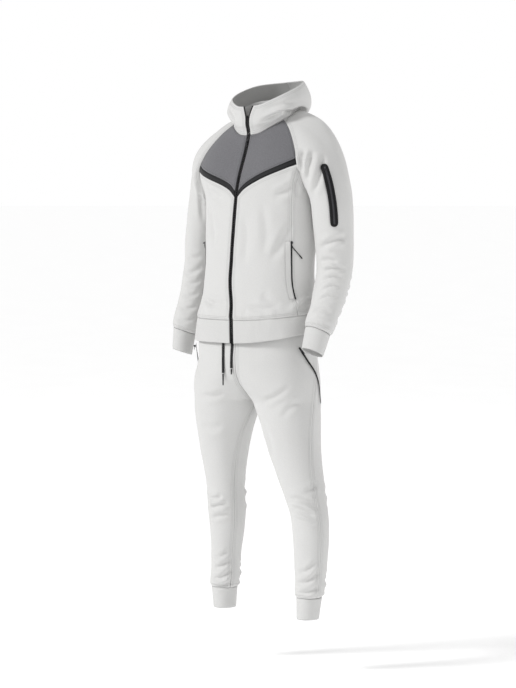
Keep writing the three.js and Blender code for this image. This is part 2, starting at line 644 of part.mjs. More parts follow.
for (const [name, side] of SIDES) {
  strip(`side_pocket_welt_${name}`, body, pocketLine(side, -9.6), () => 7.4, shares(8), 0.7, 1.1, GREY);
  strip(`side_pocket_zip_${name}`, body, pocketLine(side, 0), () => 1.8, shares(8), 0.7, 1.0, BLACK);
  strip(`leg_pocket_zip_${name}`, legs[name], legPocketLine(name), () => 2.6, shares(8), 0.6, 1.0, BLACK);
}
const rowsOfPocket = endRows(11, 183, 7);
strip("sleeve_pocket_surround", sleeves.left, sleevePocketLine, (t) => rounded(t, 11, 183), rowsOfPocket, 0.8, 1.0, BLACK);
const innerPocketLine = (t) => sleevePocketLine(mix(0.05, 0.95, t));
strip("sleeve_pocket_zip", sleeves.left, innerPocketLine, () => 2.4, shares(8), 2.4, 1.1, ZIP_GREY);

// The drawstring: two flat ends that hang in front of the joggers from inside the waistband.
const drawstrings = [["left", -24, 1000, 846, 17], ["right", -53, 1000, 815, 34]];
const frontOf = chart((x, height) => {
  // Below the belly they hang straight down, clear of the thighs.
  const read = trunk(Math.max(height, 875));
  const across = (Math.abs(x - MIDDLE) / read.left) * smooth(clamp((height - 860) / 50, 0, 1));
  return point(x, read.y - read.front * (1 - across ** SQUARE_LEG) ** (1 / SQUARE_LEG), height);
}, 0.5, 1, 1, 766, WAIST_TOP);
for (const [name, x, top, low, tip] of drawstrings) {
  const neck = low + tip;
  strip(`drawstring_${name}`, frontOf, lineOn([[x, top], [x, neck + GAP]]), () => 4, shares(8), 0.6, 1.8, BLACK);
  strip(`drawstring_tip_${name}`, frontOf, lineOn([[x, neck], [x, low]]), () => 2.7, shares(3), 0.6, 1.6, BLACK);
}

// Where pieces share a point, they share the way out there too.
const eachPoint = (visit) =>
  pieces.filter((p) => !p.loose).forEach((p) => p.outer.forEach((row, i) => row.forEach((q, j) => visit(p, q, i, j))));
const keyOf = (p) => [p.x, p.y, p.z].map((n) => Math.round(n * 50)).join();
const meeting = new Map();
eachPoint((p, q, i, j) => {
  const key = keyOf(q);
  if (!meeting.has(key)) meeting.set(key, []);
  meeting.get(key).push(p.outwards[i][j].clone());
});
eachPoint((p, q, i, j) => {
  const all = meeting.get(keyOf(q));
  const distinct = all.filter((a, n) => all.findIndex((b) => b.dot(a) > 0.999) === n);
  const sum = distinct.reduce((s, n) => s.add(n), point(0, 0, 0));
  if (sum.length() > 1e-3) p.outwards[i][j] = sum.normalize();
});

// Moves the edges of a grid inwards by half the seam gap, so that two pieces never touch.
function drawIn({ outer, closed, gap }) {
  if (!gap) return outer;
  const rows = outer.length;
  const columns = outer[0].length;
  const ways = outer.map((row) => row.map(() => []));
  // Square to the edge, whose neighbours on either side of the point are given.
  const pull = (i, j, towards, before, after) => {
    const along = after.clone().sub(before).normalize();
    const way = towards.clone().sub(outer[i][j]);
    ways[i][j].push(way.addScaledVector(along, -way.dot(along)).normalize());
  };
  for (const [i, next] of [[0, 1], [rows - 1, rows - 2]]) {
    for (let j = 0; j < columns; j += 1) {
      const before = closed ? (j + columns - 1) % columns : Math.max(j - 1, 0);
      const after = closed ? (j + 1) % columns : Math.min(j + 1, columns - 1);
      pull(i, j, outer[next][j], outer[i][before], outer[i][after]);
    }
  }
  if (!closed) {
    for (const [j, next] of [[0, 1], [columns - 1, columns - 2]]) {
      for (let i = 0; i < rows; i += 1) {
        pull(i, j, outer[i][next], outer[Math.max(i - 1, 0)][j], outer[Math.min(i + 1, rows - 1)][j]);
      }
    }
  }
  return outer.map((row, i) => row.map((p, j) => {
    const [a, b] = ways[i][j];
    if (!a) return p.clone();
    if (!b) return p.clone().addScaledVector(a, gap);
    return p.clone().addScaledVector(a.clone().add(b), gap / Math.max(1 + a.dot(b), 0.03));
  }));
}

function turnOut(geometry) {
  const p = geometry.getAttribute("position");
  const index = geometry.index.array;
  const corner = (i) => new THREE.Vector3().fromBufferAttribute(p, index[i]);
  let volume = 0;
  for (let i = 0; i < index.length; i += 3) {
    volume += corner(i).dot(corner(i + 1).cross(corner(i + 2)));
  }
  if (volume < 0) {
    for (let i = 0; i < index.length; i += 3) [index[i + 1], index[i + 2]] = [index[i + 2], index[i + 1]];
  }
  geometry.computeVertexNormals();
  return geometry;
}

// A wall between two offsets of a grid, closed round where the last column meets the first.
function wall(entry) {
  const outer = drawIn(entry);
  const rows = outer.length;
  const columns = outer[0].length;
  const positions = [];
  [entry.lift + entry.thickness, entry.lift].forEach((height) => {
    outer.forEach((row, i) => row.forEach((p, j) => {
      positions.push(...p.clone().addScaledVector(entry.outwards[i][j], height).toArray());
    }));
  });
  const index = [];
  const vertex = (side, i, j) => side * rows * columns + i * columns + (j % columns);
  const quad = (a, b, c, d) => index.push(a, b, c, a, c, d);
  const spans = entry.closed ? columns : columns - 1;
  for (let i = 0; i < rows - 1; i += 1) {
    for (let j = 0; j < spans; j += 1) {
      quad(vertex(0, i, j), vertex(0, i, j + 1), vertex(0, i + 1, j + 1), vertex(0, i + 1, j));
      quad(vertex(1, i + 1, j), vertex(1, i + 1, j + 1), vertex(1, i, j + 1), vertex(1, i, j));
    }
  }
  const last = rows - 1;
  for (let j = 0; j < spans; j += 1) {
    quad(vertex(0, 0, j), vertex(1, 0, j), vertex(1, 0, j + 1), vertex(0, 0, j + 1));
    quad(vertex(0, last, j), vertex(0, last, j + 1), vertex(1, last, j + 1), vertex(1, last, j));
  }
  if (!entry.closed) {
    for (let i = 0; i < last; i += 1) {
      quad(vertex(0, i, 0), vertex(0, i + 1, 0), vertex(1, i + 1, 0), vertex(1, i, 0));
      quad(vertex(0, i, spans), vertex(1, i, spans), vertex(1, i + 1, spans), vertex(0, i + 1, spans));
    }
  }
  const geometry = new THREE.BufferGeometry();
  geometry.setAttribute("position", new THREE.Float32BufferAttribute(positions, 3));
  geometry.setIndex(index);
  return turnOut(geometry);
}

const suit = new THREE.Group();
suit.position.z = -NECK_HEIGHT;
for (const entry of pieces) {
  const mesh = new THREE.Mesh(wall(entry), entry.material);
  mesh.name = entry.name;
  suit.add(mesh);
}

// Zip sliders and pulls. In their own frame, x lies across the zip, y away from the cloth and z
// up the zip, towards the closed end of the slider's travel.
const solidOf = (geometry) => {
  const plain = geometry.index ? geometry.toNonIndexed() : geometry;
  const merged = mergeVertices(new THREE.BufferGeometry().setAttribute("position", plain.getAttribute("position")), 1e-4);
  const vertProperties = merged.getAttribute("position").array;
  return new wasm.Manifold(new wasm.Mesh({ numProp: 3, vertProperties, triVerts: new Uint32Array(merged.index.array) }));
};
const meshOf = (solid) => {
  const made = solid.getMesh();
  const geometry = new THREE.BufferGeometry();
  geometry.setAttribute("position", new THREE.Float32BufferAttribute(Array.from(made.vertProperties), 3));
  geometry.setIndex(Array.from(made.triVerts));
  geometry.computeVertexNormals();
  return geometry;
};
const joined = (...parts) => meshOf(parts.map(solidOf).reduce((a, b) => a.add(b)));
const box = (w, d, h, x, y, z) => new THREE.BoxGeometry(w, d, h).translate(x, y, z);
const rod = (radius, length, x, y, z) =>
  new THREE.CylinderGeometry(radius, radius, length, 16).rotateZ(Math.PI / 2).translate(x, y, z);

const AXLE = { y: 4.9, z: 0.6 };
function slider(size) {
  const outline = new THREE.Shape([
    [-2.2, -5.2], [2.2, -5.2], [3.4, -2], [3.8, 3.4], [2.6, 5.2], [-2.6, 5.2], [-3.8, 3.4], [-3.4, -2],
  ].map(([x, z]) => new THREE.Vector2(x * size, z * size)));
  const plate = new THREE.ExtrudeGeometry(outline, { depth: 2.2, bevelEnabled: false });
  plate.rotateX(Math.PI / 2).translate(0, 2.2, 0);
  return joined(
    plate,
    box(0.9, 4.2, 2.6, -2.5, 3.7, AXLE.z),
    box(0.9, 4.2, 2.6, 2.5, 3.7, AXLE.z),
    rod(0.6, 5.6, 0, AXLE.y, AXLE.z),
  );
}
// The pull hangs from the axle: an eye, and a tab that leans back towards the cloth.
function pull(length, width, lean) {
  const eye = solidOf(rod(1.6, 3.2, 0, 0, 0)).subtract(solidOf(rod(0.95, 5, 0, 0, 0)));
  const neck = box(2.8, 1.2, 3, 0, 0, -2.7).rotateX(-lean * DEGREE);
  const tab = box(width, 1.2, length - 3.6, 0, 0, -(length - 3.6) / 2 - 3.6).rotateX(-lean * DEGREE);
  const made = eye.add(solidOf(neck)).add(solidOf(tab));
  return meshOf(made).translate(0, AXLE.y, AXLE.z);
}
function addHard(name, geometry, at, out, up) {
  const z = up.clone().addScaledVector(out, -up.dot(out)).normalize();
  const x = out.clone().cross(z).normalize();
  const mesh = new THREE.Mesh(geometry, TRIM);
  mesh.name = name;
  const turn = new THREE.Matrix4().makeBasis(x, out.clone().normalize(), z);
  mesh.quaternion.setFromRotationMatrix(turn);
  mesh.position.copy(at);
  suit.add(mesh);
}
function fitZip(name, surface, place, ahead, lift, size, length, lean) {
  const out = surface.out(...place);
  const up = surface.at(...ahead).sub(surface.at(...place));
  const at = surface.at(...place).addScaledVector(out, lift);
  addHard(`${name}_slider`, slider(size), at, out, up);
  addHard(`${name}_pull`, pull(length, 4.4 * size, lean), at, out, up);
}
fitZip("front_zip", frontLine, [0, SLIDER_CLIMB], [0, SLIDER_CLIMB + 4], 0.5, 1, 19, 6);
fitZip("sleeve_pocket", sleeves.left, innerPocketLine(0.06), innerPocketLine(0), 3.5, 0.8, 16, 4);
for (const [name] of SIDES) {
  const line = legPocketLine(name);
  fitZip(`leg_pocket_${name}`, legs[name], line(0.05), line(0), 1.9, 0.75, 13, 4);
}
for (const [name, side] of SIDES) {
  const line = pocketLine(side, 0);
  const out = body.out(...line(0.03));
  const at = body.at(...line(0.03)).addScaledVector(out, 2.1);
  const up = body.at(...line(0)).sub(body.at(...line(0.03))).normalize();
  addHard(`side_pocket_${name}_slider`, slider(0.8), at, out, up);
  // A soft cord hangs from its lower end, back over the side panel.
  const start = at.clone().addScaledVector(out, 1.3).addScaledVector(up, -4.16 - 0.8);
  const onSide = (away, fall, lift) => {
    const climb = POCKET_TOP - 5 - fall;
    const place = [side * (seamAngle(sideFront, climb) + away / bodyRadius), climb];
    return body.at(...place).addScaledVector(body.out(...place), lift);
  };
  const path = new THREE.CatmullRomCurve3([
    start, onSide(3, 12, 3.4), onSide(9, 19, 2.9), onSide(20, 31, 2.6), onSide(31, 43, 2.6),
  ]);
  const round = new THREE.Shape(roundShares(8).map((t) => new THREE.Vector2(
    1.3 * Math.cos(2 * Math.PI * t), 1.3 * Math.sin(2 * Math.PI * t))));
  const cord = new THREE.ExtrudeGeometry(round, { steps: 10, extrudePath: path });
  const mesh = new THREE.Mesh(meshOf(solidOf(cord)), BLACK);
  mesh.name = `side_pocket_cord_${name}`;
  suit.add(mesh);
}

export default suit;
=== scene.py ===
"""A worn zip-up hooded tracksuit: the cloth, seams, folds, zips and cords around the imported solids.

Every cloth piece starts as the outer layer of its solid's wall, made smooth, and gets its folds,
seams and thickness here. Metres, +Z up, the front faces -Y, the wearer's left is +X, and the
origin is in the middle of the neck opening.
"""
import math
import random

import bmesh
import bpy
import numpy as np
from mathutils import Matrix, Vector
from mathutils.bvhtree import BVHTree
from mathutils.kdtree import KDTree


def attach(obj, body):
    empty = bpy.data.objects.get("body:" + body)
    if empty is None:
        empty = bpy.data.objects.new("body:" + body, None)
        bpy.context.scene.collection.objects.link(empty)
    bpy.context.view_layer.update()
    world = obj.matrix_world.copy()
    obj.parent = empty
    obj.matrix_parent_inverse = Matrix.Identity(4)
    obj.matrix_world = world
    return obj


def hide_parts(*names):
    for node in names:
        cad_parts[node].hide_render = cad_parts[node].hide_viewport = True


MM = 0.001
NECK_HEIGHT = 1.560
CLOTH = 2.4 * MM
FAR = 1.0
TINY = 1e-9

# The photograph: its frame, the real size of a pixel at the body, and where the body's axis is.
PHOTO_WIDTH = 516
PHOTO_HEIGHT = 688
PIXEL = 2.86 * MM
AXIS_PIXEL = 262
AZIMUTH = math.radians(30)
CAMERA_DISTANCE = 8.5
CAMERA_HEIGHT = 1.540 - NECK_HEIGHT
AIM_HEIGHT = 0.927 - NECK_HEIGHT
SENSOR = 36.0
CAMERA_REACH = 60

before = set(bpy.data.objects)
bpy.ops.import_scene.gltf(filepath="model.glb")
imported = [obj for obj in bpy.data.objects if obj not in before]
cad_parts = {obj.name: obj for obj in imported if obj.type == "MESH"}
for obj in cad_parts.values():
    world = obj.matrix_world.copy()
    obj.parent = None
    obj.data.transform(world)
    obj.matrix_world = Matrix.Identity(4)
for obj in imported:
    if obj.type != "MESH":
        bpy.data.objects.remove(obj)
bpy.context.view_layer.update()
scene = bpy.context.scene


# The camera
def place_camera():
    """Sets the photograph's camera, and returns its place and its right, up and forward ways."""
    right = Vector((math.cos(AZIMUTH), math.sin(AZIMUTH), 0))
    aim = right * ((PHOTO_WIDTH / 2 - AXIS_PIXEL) * PIXEL) + Vector((0, 0, AIM_HEIGHT))
    place = aim + Vector((math.sin(AZIMUTH), -math.cos(AZIMUTH), 0)) * CAMERA_DISTANCE
    place.z = CAMERA_HEIGHT
    ahead = aim - place
    camera = bpy.data.cameras.new("camera")
    camera.lens = ahead.length / PIXEL / PHOTO_HEIGHT * SENSOR
    camera.sensor_width = SENSOR
    camera.clip_end = CAMERA_REACH
    holder = bpy.data.objects.new("camera", camera)
    holder.location = place
    holder.rotation_euler = ahead.to_track_quat("-Z", "Y").to_euler()
    scene.collection.objects.link(holder)
    scene.camera = holder
    focal = ahead.length / PIXEL
    ahead.normalize()
    return place, right, right.cross(ahead), ahead, focal


EYE, RIGHT, UP, AHEAD, FOCAL = place_camera()


# Reading the solids
SAME_POINT = 1e-5
SAME_LENGTH = 8e-6


def outer_layer(name, thickness, middle):
    """The outer layer of a wall's mesh, as a bmesh of quads.

    A wall's rim is known by its edges, which are as long as the wall is thick, and the outer layer
    by facing away from the hollow's middle, which middle gives for a height.
    """
    mesh = bmesh.new()
    mesh.from_mesh(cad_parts[name].data)
    bmesh.ops.remove_doubles(mesh, verts=mesh.verts, dist=SAME_POINT)
    rim = [
        face for face in mesh.faces
        if any(abs(edge.calc_length() - thickness) < SAME_LENGTH for edge in face.edges)
    ]
    bmesh.ops.delete(mesh, geom=rim, context="FACES")

    def facing(island):
        total = 0.0
        for face in island:
            spot = face.calc_center_median()
            x, y = middle(spot.z)
            away = Vector((spot.x - x, spot.y - y, 0)).normalized()
            total += face.calc_area() * face.normal.dot(away)
        return total

    left = set(mesh.faces)
    layers = []
    while left:
        island = set()
        front = [next(iter(left))]
        while front:
            face = front.pop()
            if face in island:
                continue
            island.add(face)
            front.extend(f for e in face.edges for f in e.link_faces if f not in island)
        left -= island
        layers.append(island)
    layers.sort(key=facing)
    spare = [f for island in layers[:-1] for f in island]
    bmesh.ops.delete(mesh, geom=spare, context="FACES")
    bmesh.ops.delete(mesh, geom=[v for v in mesh.verts if not v.link_faces], context="VERTS")
    turn = math.radians(180)
    bmesh.ops.join_triangles(
        mesh, faces=mesh.faces, angle_face_threshold=turn, angle_shape_threshold=turn
    )
    return mesh


# Which pieces there are, by the part of the body that they cover
TORSO = (
    "jacket_front_left", "jacket_front_right", "jacket_side_left", "jacket_side_right", "jacket_back",
)
CHEST = ("yoke_left", "yoke_right", "chest_tape_left", "chest_tape_right")
LEFT_ARM = ("sleeve_left", "cuff_left")
RIGHT_ARM = ("sleeve_right", "cuff_right")
LEFT_LEG = ("leg_front_left", "leg_back_left", "ankle_cuff_left")
RIGHT_LEG = ("leg_front_right", "leg_back_right", "ankle_cuff_right")
HOOD = ("hood_left", "hood_right")

# The trims that lie on the cloth, and how thick each is in millimetres
TRIMS = {"zip_chain": 2.2, "sleeve_pocket_surround": 1.0, "sleeve_pocket_zip": 1.1}
TRIMS.update({
    f"{trim}_{side}": thickness
    for trim, thickness in (
        ("zip_tape", 1.3), ("side_pocket_welt", 1.1), ("side_pocket_zip", 1.0),
        ("leg_pocket_zip", 1.0), ("drawstring", 1.8), ("drawstring_tip", 1.6),
    )
    for side in ("left", "right")
})
GROUPS = {
    "torso": TORSO + CHEST + ("hem_band", "zip_tape_left", "zip_tape_right", "zip_chain")
    + tuple(n for n in TRIMS if n.startswith("side_pocket")),
    "left arm": LEFT_ARM + ("sleeve_pocket_surround", "sleeve_pocket_zip"),
    "right arm": RIGHT_ARM,
    "hood": HOOD,
    "left leg": LEFT_LEG + ("leg_pocket_zip_left",),
    "right leg": RIGHT_LEG + ("leg_pocket_zip_right",),
    "waist": ("waistband",),
}
group_of = {name: group for group, names in GROUPS.items() for name in names}

# How often a sheet's faces are halved to make it smooth: the large pieces, and all the others
LARGE_PIECES = TORSO + CHEST + LEFT_ARM + RIGHT_ARM + LEFT_LEG + RIGHT_LEG + HOOD + ("hem_band",)
LARGE_STEPS = 3
SMALL_STEPS = 2


def thickness_of(name):
    return TRIMS[name] * MM if name in TRIMS else CLOTH


# Soft noise, the same wherever two pieces meet
LATTICE = 32


def lattice(seed):
    return np.random.default_rng(seed).uniform(-1, 1, (LATTICE, LATTICE, LATTICE))


def soft_noise(points, size, seed):
    """Smooth noise from -1 to 1 for an array of points, with a size for each axis."""
    values = lattice(seed)
    place = points / np.array(size)
    cell = np.floor(place).astype(int)
    part = place - cell
    part = part * part * (3 - 2 * part)
    total = np.zeros(len(points))
    for corner in range(8):
        step = np.array([corner & 1, corner >> 1 & 1, corner >> 2 & 1])
        weight = np.prod(np.where(step, part, 1 - part), axis=1)
        at = (cell + step) % LATTICE
        total += weight * values[at[:, 0], at[:, 1], at[:, 2]]
    return total


def smooth(t):
    t = np.clip(t, 0, 1)
    return t * t * (3 - 2 * t)


def tree_of(points):
    """A tree that finds the nearest of some points."""
    tree = KDTree(len(points))
    for i, point in enumerate(points):
        tree.insert(point, i)
    tree.balance()
    return tree


# The smooth sheets
class Sheet:
    """A piece's outer layer as arrays: points, ways out, faces, and the edge's loops and distance."""

    def __init__(self, name):
        self.name = name
        mesh = outer_layer(name, thickness_of(name), centre_of(group_of.get(name, "waist")))
        coarse = bpy.data.meshes.new(name)
        mesh.to_mesh(coarse)
        mesh.free()
        holder = bpy.data.objects.new(name + "_layer", coarse)
        scene.collection.objects.link(holder)
        finer = holder.modifiers.new("finer", "SUBSURF")
        finer.levels = LARGE_STEPS if name in LARGE_PIECES else SMALL_STEPS
        finer.boundary_smooth = "PRESERVE_CORNERS"
        shape = holder.evaluated_get(bpy.context.evaluated_depsgraph_get())
        self.mesh = bpy.data.meshes.new_from_object(shape)
        bpy.data.objects.remove(holder)
        self.mesh.name = name + "_cloth"
        self.points = self.read(self.mesh.vertices, "co")
        self.rest = self.points.copy()
        self.out = self.read(self.mesh.vertex_normals, "vector")
        self.faces = [tuple(p.vertices) for p in self.mesh.polygons]
        self.read_boundary()

    def read(self, rows, key):
        values = np.empty(len(rows) * 3)
        rows.foreach_get(key, values)
        return values.reshape(-1, 3)

    def read_boundary(self):
        """Distance to the piece's own edge, and the run along it, for each point."""
        seen = {}
        for face in self.faces:
            for a, b in zip(face, face[1:] + face[:1]):
                key = (min(a, b), max(a, b))
                seen[key] = seen.get(key, 0) + 1
        follow = {}
        for (a, b), uses in seen.items():
            if uses == 1:
                follow.setdefault(a, []).append(b)
                follow.setdefault(b, []).append(a)
        loops = []
        left = set(follow)
        while left:
            start = min(left)
            loop = [start]
            left.discard(start)
            while True:
                ahead = [n for n in follow[loop[-1]] if n in left]
                if not ahead:
                    break
                loop.append(ahead[0])
                left.discard(ahead[0])
            loops.append(loop)
        starts = []
        for loop in loops:
            ring = self.rest[loop]
            steps = np.linalg.norm(np.roll(ring, -1, 0) - ring, axis=1)
            walked = np.concatenate([[0], np.cumsum(steps)[:-1]])
            for k, spot in enumerate(ring):
                starts.append((ring[k - 1], spot, ring[(k + 1) % len(ring)], walked[k]))
        tree = tree_of([start[1] for start in starts])
        near = [tree.find(p)[1] for p in self.rest]
        before, spot, after = (np.array([starts[n][k] for n in near]) for k in range(3))
        walked = np.array([starts[n][3] for n in near])
        best = np.full(len(self.rest), FAR)
        run = np.zeros(len(self.rest))
        for end, sign in ((before, -1), (after, 1)):
            along = end - spot
            length = np.linalg.norm(along, axis=1) + TINY
            share = np.clip(np.sum((self.rest - spot) * along, axis=1) / length**2, 0, 1)
            away = np.linalg.norm(self.rest - spot - share[:, None] * along, axis=1)
            nearer = away < best
            best[nearer] = away[nearer]
            run[nearer] = (walked + sign * share * length)[nearer]
        self.loops = loops
        self.edge = best
        self.run = self.run_round() if "band" in self.name or "cuff" in self.name else run

    def run_round(self):
        """The run round a band, about its axis, so that its ribs go straight across."""
        ring = self.rest[self.loops[0]]
        axis = np.linalg.svd(ring - ring.mean(0), full_matrices=False)[2][2]
        ahead = np.array([0.0, -1.0, 0.0])
        ahead -= axis * (ahead @ axis)
        ahead /= np.linalg.norm(ahead)
        spread = self.rest - self.rest.mean(0)
        wide = spread @ np.cross(axis, ahead)
        deep = spread @ ahead
        return np.arctan2(wide, deep) * np.hypot(wide, deep).mean()


HOOD_MIDDLE = (8 * MM, 16 * MM)
SLICE = 0.03
FEWEST_IN_SLICE = 40


def centre_of(group):
    """Gives a function: the middle of a group's solids at a height."""
    if group == "hood":
        return lambda z: HOOD_MIDDLE
    names = {"torso": TORSO, "waist": ("waistband",)}.get(group, GROUPS[group][:2])
    cloud = np.array([v.co[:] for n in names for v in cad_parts[n].data.vertices])

    def middle(z):
        near = cloud[np.abs(cloud[:, 2] - z) < SLICE]
        if not len(near):
            near = cloud[np.argsort(np.abs(cloud[:, 2] - z))[:FEWEST_IN_SLICE]]
        return tuple((near[:, :2].min(0) + near[:, :2].max(0)) / 2)

    return middle


sheets = {name: Sheet(name) for names in GROUPS.values() for name in names}


def surface_of(group):
    """A group's cloth as it lies now, without its trims."""
    points = []
    faces = []
    for name in GROUPS[group]:
        if name in TRIMS:
            continue
        shift = len(points)
        points.extend(map(tuple, sheets[name].points))
        faces.extend(tuple(i + shift for i in face) for face in sheets[name].faces)
    return BVHTree.FromPolygons(points, faces)


trees = {group: surface_of(group) for group in GROUPS}


# Folds: troughs with a soft ridge beside them, along a path on the cloth, in shares of their width
RIDGE = 0.75
FAR_RIDGE = 0.6
TROUGH_WIDTH = 0.8
RIDGE_PLACE = 1.7
RIDGE_WIDTH = 0.95
FADE = 0.32
REACH = 4
STEPS_PER_STOP = 4
ROUND_STEPS = 12
OUTSIDE = 0.35
FEWEST_HITS = 3
SHORTEST = 1e-6
folds = {group: [] for group in GROUPS}


def between(stops, count):
    """A smooth line through a few stops, as more points."""
    stops = [np.array(s, float) for s in stops]
    line = []
    for k in range(count + 1):
        place = k / count * (len(stops) - 1)
        i = min(int(place), len(stops) - 2)
        t = place - i
        a, b, c, d = (stops[min(max(i + n, 0), len(stops) - 1)] for n in (-1, 0, 1, 2))
        line.append(b + 0.5 * t * (c - a + t * (2 * a - 5 * b + 4 * c - d + t * (3 * (b - c) + d - a))))
    return line


def add_fold(group, hits, depth, width, ridge):
    hits = [h for h in hits if h[0] is not None]
    if len(hits) < FEWEST_HITS:
        return
    folds[group].append({
        "path": np.array([h[0] for h in hits]),
        "out": np.array([h[1] for h in hits]),
        "depth": depth * MM,
        "width": width * MM,
        "ridge": ridge,
    })


def seen_fold(group, depth, width, stops):
    """A fold that the photograph shows, by its pixels there."""
    hits = []
    for px, py in between(stops, STEPS_PER_STOP * len(stops)):
        way = AHEAD * FOCAL + RIGHT * (px - PHOTO_WIDTH / 2) + UP * (PHOTO_HEIGHT / 2 - py)
        spot, out, _, _ = trees[group].ray_cast(EYE, way.normalized())
        hits.append((spot, out))
    add_fold(group, hits, depth, width, RIDGE)


def round_fold(group, depth, width, start, end, ridge=RIDGE):
    """A fold part of the way round: (degrees from the front to the wearer's left, height in mm)."""
    middle = centre_of(group)
    half_way = ((start[0] + end[0]) / 2, (start[1] + end[1]) / 2)
    hits = []
    for angle, height in between((start, half_way, end), ROUND_STEPS):
        z = height * MM - NECK_HEIGHT
        x, y = middle(z)
        way = Vector((math.sin(math.radians(angle)), -math.cos(math.radians(angle)), 0))
        inside = Vector((x, y, z))
        spot, out, _, _ = trees[group].ray_cast(inside + way * OUTSIDE, -way, OUTSIDE)
        hits.append((spot, out))
    add_fold(group, hits, depth, width, ridge)


def fold_field(group, points):
    """How far the folds of a group move each point."""
    whole = np.zeros_like(points)
    for fold in folds[group]:
        path = fold["path"]
        reach = REACH * fold["width"]
        near = np.all((points > path.min(0) - reach) & (points < path.max(0) + reach), axis=1)
        if near.any():
            whole[near] += fold_moves(fold, points[near])
    return whole


def fold_moves(fold, points):
    """How far one fold moves each point: in at its path, and out a little on both sides."""
    path = fold["path"]
    best = np.full(len(points), FAR)
    share = np.zeros(len(points))
    side = np.zeros(len(points))
    way = np.zeros_like(points)
    for i in range(len(path) - 1):
        along = path[i + 1] - path[i]
        square = float(along @ along)
        if square < SHORTEST**2:
            continue
        part = np.clip((points - path[i]) @ along / square, 0, 1)
        gap = points - path[i] - part[:, None] * along
        away = np.linalg.norm(gap, axis=1)
        nearer = away < best
        best[nearer] = away[nearer]
        share[nearer] = (i + part[nearer]) / (len(path) - 1)
        side[nearer] = (gap @ np.cross(along, fold["out"][i]))[nearer]
        out = fold["out"][i] + part[:, None] * (fold["out"][i + 1] - fold["out"][i])
        way[nearer] = out[nearer]
    s = best / fold["width"]
    fade = smooth(np.minimum(share, 1 - share) / FADE)
    trough = -np.exp(-((s / TROUGH_WIDTH) ** 2))
    high = np.where(side > 0, fold["ridge"], fold["ridge"] * FAR_RIDGE)
    beside = np.exp(-(((s - RIDGE_PLACE) / RIDGE_WIDTH) ** 2)) * high
    return way * ((trough + beside) * fade * fold["depth"])[:, None]


